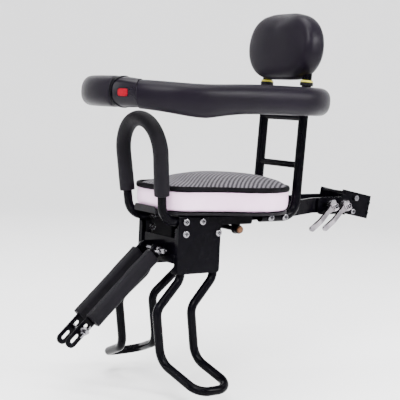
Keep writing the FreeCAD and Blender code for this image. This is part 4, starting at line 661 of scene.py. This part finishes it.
def settle(obj):
    """Keep what an object's modifiers make of its mesh."""
    shown = obj.evaluated_get(bpy.context.evaluated_depsgraph_get())
    mesh = bpy.data.meshes.new_from_object(shown)
    obj.modifiers.clear()
    obj.data = mesh


def puff(cover, sewn, cap):
    """Swell a padded cover with the cloth solver, its sewn points held, within a cap in millimetres."""
    remesh = cover.modifiers.new("even_cloth", "REMESH")
    remesh.mode = "VOXEL"
    remesh.voxel_size = CLOTH_VOXEL
    settle(cover)
    start = [vertex.co.copy() for vertex in cover.data.vertices]
    held = [index for index, point in enumerate(start) if sewn(point / MM)]
    cover.vertex_groups.new(name="sewn").add(held, 1.0, "REPLACE")
    cloth = cover.modifiers.new("swell", "CLOTH")
    cloth.settings.vertex_group_mass = "sewn"
    cloth.settings.use_pressure = True
    cloth.settings.uniform_pressure_force = CLOTH_PRESSURE
    cloth.settings.effector_weights.gravity = 0
    cloth.collision_settings.use_collision = False
    scene = bpy.context.scene
    for step in range(1, CLOTH_FRAMES + 1):
        scene.frame_set(step)
    swollen = cover.evaluated_get(bpy.context.evaluated_depsgraph_get()).data.vertices
    ends = [vertex.co.copy() for vertex in swollen]
    cover.modifiers.clear()
    scene.frame_set(1)
    for vertex, old, new in zip(cover.data.vertices, start, ends):
        move = new - old
        if move.length > cap * MM:
            move *= cap * MM / move.length
        vertex.co = old + move
    cover.vertex_groups.clear()
    ease = cover.modifiers.new("ease", "SMOOTH")
    ease.factor = 0.5
    ease.iterations = CLOTH_EASE
    finer = cover.modifiers.new("finer", "SUBSURF")
    finer.levels = 1
    settle(cover)
    cover.data.shade_smooth()


# Guard ring


def fuller(value):
    """Sine or cosine pushed outwards, for a section fuller than an ellipse."""
    return math.copysign(abs(value) ** SECTION_POWER, value)


def section_spot(point, outward, turn, half_width, above, below):
    """Point at a turn round the full-bodied section across the ring."""
    rise = fuller(math.sin(turn))
    height = above if rise > 0 else below
    return point + outward * (half_width * fuller(math.cos(turn))) + UP * (height * rise)


def oval(point, outward, half_width, above, below):
    """Closed section across the ring."""
    turns = [2 * math.pi * index / SECTION_POINTS for index in range(SECTION_POINTS)]
    return [section_spot(point, outward, turn, half_width, above, below) for turn in turns]


def front_station(angle):
    """Point and outward direction on the ring's front arc."""
    turn = math.radians(angle)
    outward = Vector((math.cos(turn), math.sin(turn), 0))
    return Vector((RING_X, 0, RING_Z)) + outward * RING_HALF, outward


def front_share(x):
    """How far round the front arc a place is, from 0 at the sides to 1 at the very front."""
    return min(max((x - RING_X) / RING_HALF, 0), 1)


def guard_runs():
    """Lengths of the guard's runs from the latch: arc, left side, one rear bend, back, right side."""
    corner_x = RING_REAR_X + RING_CORNER
    arc = RING_HALF * math.radians(90 - COLLAR_ANGLE)
    bend = RING_CORNER * math.pi / 2
    return arc, RING_X - corner_x, bend, 2 * (RING_HALF - RING_CORNER), HINGE_END_X - corner_x


def guard_length():
    arc, left, bend, back, right = guard_runs()
    return arc + left + 2 * bend + back + right


def guard_station(distance):
    """Point and outward direction on the guard's centre line, from the latch to the hinge."""
    arc, left, bend, back, _ = guard_runs()
    corner_x = RING_REAR_X + RING_CORNER
    corner_y = RING_HALF - RING_CORNER
    if distance < arc:
        return front_station(COLLAR_ANGLE + math.degrees(distance / RING_HALF))
    distance -= arc
    if distance < left:
        return Vector((RING_X - distance, RING_HALF, RING_Z)), Vector((0, 1, 0))
    distance -= left
    if distance < bend:
        turn = distance / RING_CORNER
        outward = Vector((-math.sin(turn), math.cos(turn), 0))
        return Vector((corner_x, corner_y, RING_Z)) + outward * RING_CORNER, outward
    distance -= bend
    if distance < back:
        return Vector((RING_REAR_X, corner_y - distance, RING_Z)), Vector((-1, 0, 0))
    distance -= back
    if distance < bend:
        turn = math.pi / 2 - distance / RING_CORNER
        outward = Vector((-math.sin(turn), -math.cos(turn), 0))
        return Vector((corner_x, -corner_y, RING_Z)) + outward * RING_CORNER, outward
    distance -= bend
    return Vector((corner_x + distance, -RING_HALF, RING_Z)), Vector((0, -1, 0))


def back_x(height):
    """Place of the leaning uprights at a height."""
    return BACK_X - height * math.tan(BACK_LEAN)


def clear_of_uprights(point):
    """Press foam back to the surface of an upright that runs through it."""
    near = UPRIGHT_R + UPRIGHT_GAP
    axis_x = back_x(point.z)
    for side in (-1, 1):
        away = Vector((point.x - axis_x, point.y - side * BACK_HALF, 0))
        if away.length < near:
            away = away.normalized() * near
            return Vector((axis_x + away.x, side * BACK_HALF + away.y, point.z))
    return point


def hump(x, middle, spread):
    """Smooth hump of height 1 along the ring."""
    return math.exp(-(((x - middle) / spread) ** 2))


def make_guard():
    """Ring pad: its top sits low along the front of the sides, and its underside swells there."""
    rings = []
    length = guard_length()
    for along, inset in rounded_ends(length, PAD_END_ROUND, PAD_STEP):
        point, outward = guard_station(along)
        share = front_share(point.x)
        width = PAD_HALF_WIDTH - PAD_NARROWER * share
        below = PAD_HALF_HEIGHT - PAD_LOWER * share
        above = below - TOP_LOW * (1 - share) - TOP_DIP * hump(point.x, TOP_DIP_X, TOP_DIP_SPAN)
        swell = BULGE * hump(point.x, BULGE_X, BULGE_SPAN) * (1 - share)
        swell *= min((length - along) / HINGE_TAPER, 1.0)
        ring = oval(point, outward, width - inset, above - inset, below + swell - inset)
        ring = [spot + outward * lump(spot, RING_LUMP_SIZE, 0.7) for spot in ring]
        rings.append([clear_of_uprights(spot) for spot in ring])
    keep(skin("guard_sleeve", rings, sharp=50), SKIN, "seat", "guard_pad")


def make_gate():
    first, last = GATE_ENDS
    length = RING_HALF * math.radians(first - last)
    rings = []
    for along, inset in rounded_ends(length, GATE_END_ROUND, PAD_STEP):
        point, outward = front_station(first - math.degrees(along / RING_HALF))
        ring = oval(point, outward, GATE_HALF_WIDTH - inset, GATE_ABOVE - inset, GATE_BELOW - inset)
        rings.append([spot + outward * lump(spot, RING_LUMP_SIZE, 0.6) for spot in ring])
    keep(skin("gate_sleeve", rings, sharp=50), SKIN, "gate", "gate_pad")


def make_gasket():
    """Dark rubber lip round the collar's mouth, bowed towards the gate on its outer face."""
    rings = []
    for step in range(GASKET_STEPS):
        turn = 2 * math.pi * step / GASKET_STEPS
        angle = LATCH_ANGLE - GASKET_SETBACK + GASKET_BOW * math.sin(turn) ** 2
        share = min(max((angle - LATCH_ANGLE) / (COLLAR_ANGLE - LATCH_ANGLE), 0), 1)
        point, outward = front_station(angle)
        along = Vector((-outward.y, outward.x, 0))
        ring = []
        for reach, shift in GASKET_SECTION:
            width = GATE_HALF_WIDTH - share + reach
            above = GATE_ABOVE - COLLAR_LOWER * share + reach
            below = GATE_BELOW - share + reach
            ring.append(section_spot(point, outward, turn, width, above, below) + along * shift)
        rings.append(ring)
    keep(skin("collar_gasket", rings, looped=True, sharp=40), POWDER, "seat", None)


def make_button():
    """Release button with round corners, in the collar's window."""
    point, outward = front_station(BUTTON_ANGLE)
    along = Vector((-outward.y, outward.x, 0))
    loop = rounded_loop(*BUTTON_HALF, BUTTON_CORNER, 64)
    normals = loop_normals(loop)
    base, face = BUTTON_REACH
    edge = [(face - depth, inset) for inset, depth in edge_rows(BUTTON_EDGE, (0, 20, 40, 60, 90))]
    rings = []
    for reach, inset in [(base, 0.0)] + edge:
        flats = [spot - out * inset for spot, out in zip(loop, normals)]
        rings.append([point + outward * reach + along * flat.x + UP * flat.y for flat in flats])
    keep(skin("button_cap", rings, sharp=40), RED, "button", "release_button")


# Headrest


def headrest_sewn(point):
    """True where the uprights enter the headrest from below."""
    height, reach = HEADREST_SEWN
    return point.z < HEADREST_Z + height and abs(abs(point.y) - BACK_HALF) < reach


def make_headrest():
    loop = rounded_loop(HEADREST_HALF, HEADREST_HEIGHT / 2, HEADREST_ROUND, 96)
    normals = loop_normals(loop)
    front = [(HEADREST_DEEP + crown, inset) for crown, inset in HEADREST_CROWN]
    edge = edge_rows(HEADREST_EDGE, (90, 75, 60, 45, 30, 15, 0))
    front += [(HEADREST_DEEP - depth, inset) for inset, depth in edge]
    rows = front + [(-depth, inset) for depth, inset in front[::-1]]
    base = Vector((back_x(HEADREST_Z) + HEADREST_AHEAD, 0, HEADREST_Z))
    lean = Matrix.Rotation(-BACK_LEAN, 3, "Y")
    rings = []
    for depth, inset in rows:
        ring = []
        for spot, out in zip(loop, normals):
            flat = spot - out * inset
            local = Vector((depth, flat.x, flat.y + HEADREST_HEIGHT / 2))
            local.x += lump(local, 42.0, 0.8)
            ring.append(base + lean @ local)
        rings.append(ring)
    cover = skin("headrest_cover", rings)
    puff(cover, headrest_sewn, HEADREST_SWELL)
    keep(cover, SKIN, "seat", "headrest_pad")


# Cushion


def cushion_loop(count):
    """Pear-shaped plan of the cushion, anticlockwise from above."""
    whole = CUSHION_PLAN + [(share, -width) for share, width in CUSHION_PLAN[-2:0:-1]]
    points = [(CUSHION_FRONT - share * CUSHION_LENGTH, width) for share, width in whole]
    return smooth_loop(points, count)


def sewn_edge(point, edge):
    """True on the flat base and along the seam round the top."""
    if point.z < CUSHION_LOW + SEWN_BASE:
        return True
    if abs(point.z - CUSHION_SEAM) > SEWN_HALF_HEIGHT:
        return False
    return min((point.xy - spot.xy).length for spot in edge) < SEWN_REACH


def cushion_side(loop, normals):
    """Rings of the cushion's side from its base up to the seam."""
    rings = []
    for rise, inset in CUSHION_SIDE:
        soft = 1.0 if CUSHION_SOFT[0] < rise < CUSHION_SOFT[1] else 0.0
        ring = []
        for spot, out in zip(loop, normals):
            place = spot - out * inset + UP * (CUSHION_LOW + rise)
            ring.append(place + out * soft * lump(place, 30.0, 0.9))
        rings.append(ring)
    return rings


def cushion_top(loop):
    """Rings of the crowned top, which drops towards the nose."""
    centre = Vector((CROWN_X, 0, 0))
    rings = []
    for scale in CROWN_SCALES:
        rise = (CUSHION_CROWN - CROWN_START) * (1 - scale**CROWN_POWER) ** 0.5
        ring = []
        for spot in loop:
            place = centre + (spot - centre) * scale
            step = min(max((place.x - SHOULDER_X) / SHOULDER_RUN, 0), 1)
            droop = NOSE_DROOP * step * step * (3 - 2 * step)
            place.z = CUSHION_SEAM + CROWN_START + rise * (1 - droop)
            ring.append(place + UP * lump(place, 45.0, 0.9))
        rings.append(ring)
    return rings


def make_cushion():
    loop = cushion_loop(CUSHION_POINTS)
    normals = loop_normals(loop)
    cushion = skin("seat_cover", cushion_side(loop, normals) + cushion_top(loop))
    edge = [spot - out * SEWN_INSET for spot, out in zip(loop, normals)]
    puff(cushion, lambda point: sewn_edge(point, edge), CUSHION_SWELL)
    cushion.data.materials.clear()
    cushion.data.materials.append(SIDE)
    cushion.data.materials.append(TOP)
    level = (CUSHION_SEAM + 0.5) * MM
    for face in cushion.data.polygons:
        face.material_index = 1 if face.center.z > level else 0
    keep(cushion, None, "seat", "seat_cushion")


def make_piping():
    """Round cord sewn into the seam between the side and the top."""
    loop = cushion_loop(CUSHION_POINTS)
    rings = []
    for spot, out in zip(loop, loop_normals(loop)):
        reach = PIPING_R + lump(spot, 9.0, 0.25)
        middle = spot - out * PIPING_INSET + UP * (CUSHION_SEAM + PIPING_RISE)
        rings.append(round_ring(middle, out, UP, reach, PIPING_TALL * reach, 16))
    keep(skin("seam_piping", rings, looped=True), PIPING, "seat")


def make_stitches():
    """Row of short pale stitches just under the piping."""
    loop = cushion_loop(STITCH_COUNT)
    verts = []
    faces = []
    for spot, out in zip(loop, loop_normals(loop)):
        along = Vector((-out.y, out.x, 0))
        proud = 0.15 + lump(spot, 30.0, 0.9)
        heart = spot + out * proud + UP * (CUSHION_SEAM - STITCH_BELOW)
        faces += ring_faces(len(STITCH_SHAPE), STITCH_SIDES, len(verts))
        for shift, reach in STITCH_SHAPE:
            verts += round_ring(heart + along * shift, out, UP, reach, reach, STITCH_SIDES)
    keep(finish_mesh("seam_stitches", verts, faces), THREAD, "seat")


# Handle grip and support pads


def make_grip():
    left = [Vector(point) for point in HANDLE_LINE]
    share = (GRIP_LOW_Z - left[0].z) / (left[1].z - left[0].z)
    start = left[0].lerp(left[1], share)
    flip = [Vector((point.x, -point.y, point.z)) for point in (left[1], start)]
    line = bent_line([start, left[1]] + flip, [HANDLE_ARCH, HANDLE_ARCH], 2.0)
    rings = []
    for along, inset in rounded_ends(line_length(line), GRIP_END_ROUND, 3.0):
        point, ahead = along_line(line, along)
        across = (ACROSS - ahead * ACROSS.dot(ahead)).normalized()
        reach = GRIP_R - inset + lump(point, 16.0, 0.25)
        rings.append(round_ring(point, across, ahead.cross(across), reach, reach, 32))
    keep(skin("handle_sleeve", rings, sharp=50), FOAM, "seat", "handle_grip")


def make_support_pads():
    loop = rounded_loop(*SUPPORT_HALF, SUPPORT_CORNER, 40)
    normals = loop_normals(loop)
    turn = Matrix.Rotation(SUPPORT_DROP, 3, "Y")
    start, end = SUPPORT_PAD
    for side, name in SIDES:
        rings = []
        for along, inset in rounded_ends(end - start, SUPPORT_END_ROUND, PAD_STEP):
            ring = []
            for spot, out in zip(loop, normals):
                flat = spot - out * inset
                local = Vector((start + along, SUPPORT_Y + flat.x, flat.y))
                local += Vector((0, out.x, out.y)) * lump(local, 24.0, 0.5)
                place = SUPPORT_PIVOT + turn @ local
                ring.append(Vector((place.x, side * place.y, place.z)))
            rings.append(ring)
        sleeve = skin("support_sleeve_" + name, rings, sharp=50)
        keep(sleeve, FOAM, "support", "support_pad_" + name)


# Small details on the steel work


def weld_bead(height, side):
    """Rings of a rippled bead round the end of a crossbar."""
    rings = []
    for step in range(36):
        turn = 2 * math.pi * step / 36
        out = Vector((math.cos(turn), 0, math.sin(turn)))
        gap = math.sqrt(UPRIGHT_R**2 - (CROSSBAR_R * math.cos(turn)) ** 2)
        centre = Vector((back_x(height), side * (BACK_HALF - gap), height)) + out * CROSSBAR_R
        reach = WELD_R + WELD_RIPPLE * math.sin(WELD_RIPPLES * turn)
        rings.append(round_ring(centre, out, SIDEWAYS, reach, reach, 8))
    return rings


def make_welds():
    """Beads where the crossbars meet the uprights."""
    for height in CROSSBAR_HEIGHTS:
        for side, name in SIDES:
            bead = skin("weld_%s_%d" % (name, height), weld_bead(height, side), looped=True)
            keep(bead, POWDER, "seat", None)


def head_tops(node):
    """Middles of the outer ends of a node's cross bolts, in millimetres."""
    points = [vertex.co / MM for vertex in frame["nodes"][node].data.vertices]
    reach = max(abs(point.y) for point in points)
    groups = []
    for point in points:
        if abs(point.y) < reach - HEAD_TOP:
            continue
        near = [group for group in groups if (group[0] - point).length < HEAD_SPREAD]
        if near:
            near[0].append(point)
        else:
            groups.append([point])
    middles = []
    for group in groups:
        low = [min(point[axis] for point in group) for axis in range(3)]
        high = [max(point[axis] for point in group) for axis in range(3)]
        middle = (Vector(low) + Vector(high)) / 2
        middles.append(Vector((middle.x, math.copysign(reach, middle.y), middle.z)))
    return middles


def turned_cap(name, middle, profile, sides, look, body):
    """Small turned or hexagonal piece on a bolt's end, pointing outwards along y."""
    side = math.copysign(1, middle.y)
    rings = []
    for radius, out in profile:
        rings.append(round_ring(middle + SIDEWAYS * (side * out), ACROSS, UP, radius, radius, sides))
    keep(skin(name, rings, sharp=35), look, body, None)


def make_bolt_details():
    """Black hexagonal discs on the heads as painted shade of their sockets, brass tips on the tie bolt, and
    ringed caps on the cam levers.
    """
    for node, body in SOCKET_SHADE_NODES.items():
        for index, middle in enumerate(head_tops(node)):
            name = "%s_socket_shade_%d" % (node, index)
            # Matte black disc: painted shade where the hex socket's hollow would be
            turned_cap(name, middle, SOCKET_SHADE_DISC, 6, MATTE, body)
    for index, middle in enumerate(head_tops("tie_ends")):
        turned_cap("tie_tip_%d" % index, middle, TIE_TIP, 24, BRASS, "seat")
    for end, x in LEVER_XS.items():
        crest = Vector((x, CAM_CREST_Y, SKEWER_Z))
        body = "lever_" + end
        turned_cap(body + "_cap", crest, LEVER_CAP, 32, ALLOY, body)
        turned_cap(body + "_ring", crest, LEVER_RING, 32, POWDER, body)
        turned_cap(body + "_knob", crest, LEVER_KNOB, 24, ZINC, body)


# Floor, light and camera


def make_floor():
    """Pale round sweep: a flat floor that curves up all round."""
    centre = Vector((FLOOR_X, 0, cad_box[0][2] / MM - FLOOR_BELOW))
    reach = FLOOR_FLAT[-1]
    profile = [(radius, 0.0) for radius in FLOOR_FLAT]
    for angle in range(10, 91, 10):
        turn = math.radians(angle)
        profile.append((reach + FLOOR_CURVE * math.sin(turn), FLOOR_CURVE * (1 - math.cos(turn))))
    profile.append((reach + FLOOR_CURVE, FLOOR_WALL))
    rings = [round_ring(centre + UP * rise, ACROSS, SIDEWAYS, radius, radius, 64) for radius, rise in profile]
    floor = skin("studio_floor", rings, capped=False)
    floor.data.materials.append(FLOOR)


def make_light(name, place, size, power):
    data = bpy.data.lights.new(name, "AREA")
    data.shape = "RECTANGLE"
    data.size, data.size_y = size
    data.energy = power
    lamp = bpy.data.objects.new(name, data)
    bpy.context.collection.objects.link(lamp)
    lamp.location = place
    lamp.rotation_euler = (Vector(LIGHT_TARGET) - Vector(place)).to_track_quat("-Z", "Y").to_euler()


def make_studio():
    for name, (place, size, power) in LIGHTS.items():
        make_light(name, place, size, power)
    world = bpy.data.worlds.new("studio")
    world.use_nodes = True
    background = world.node_tree.nodes["Background"]
    background.inputs["Color"].default_value = WORLD_COLOUR
    background.inputs["Strength"].default_value = WORLD_STRENGTH
    bpy.context.scene.world = world


def make_camera():
    """Camera where the photo was taken from."""
    data = bpy.data.cameras.new("photo_view")
    data.sensor_fit = "HORIZONTAL"
    data.angle = 2 * math.atan(HALF_IMAGE_PX / FOCAL_PX)
    data.clip_start = 0.05
    data.clip_end = 50
    right = Vector(CAMERA_RIGHT).normalized()
    ahead = Vector(CAMERA_AHEAD).normalized()
    up = right.cross(ahead).normalized()
    camera = bpy.data.objects.new("photo_view", data)
    bpy.context.collection.objects.link(camera)
    turn = Matrix((right, up, -ahead)).transposed()
    camera.matrix_world = Matrix.Translation(CAMERA_PLACE) @ turn.to_4x4()
    bpy.context.scene.camera = camera


make_camera()
dress_nodes()
make_guard()
make_gate()
make_gasket()
make_button()
make_headrest()
make_cushion()
make_piping()
make_stitches()
make_grip()
make_support_pads()
make_welds()
make_bolt_details()
make_floor()
make_studio()
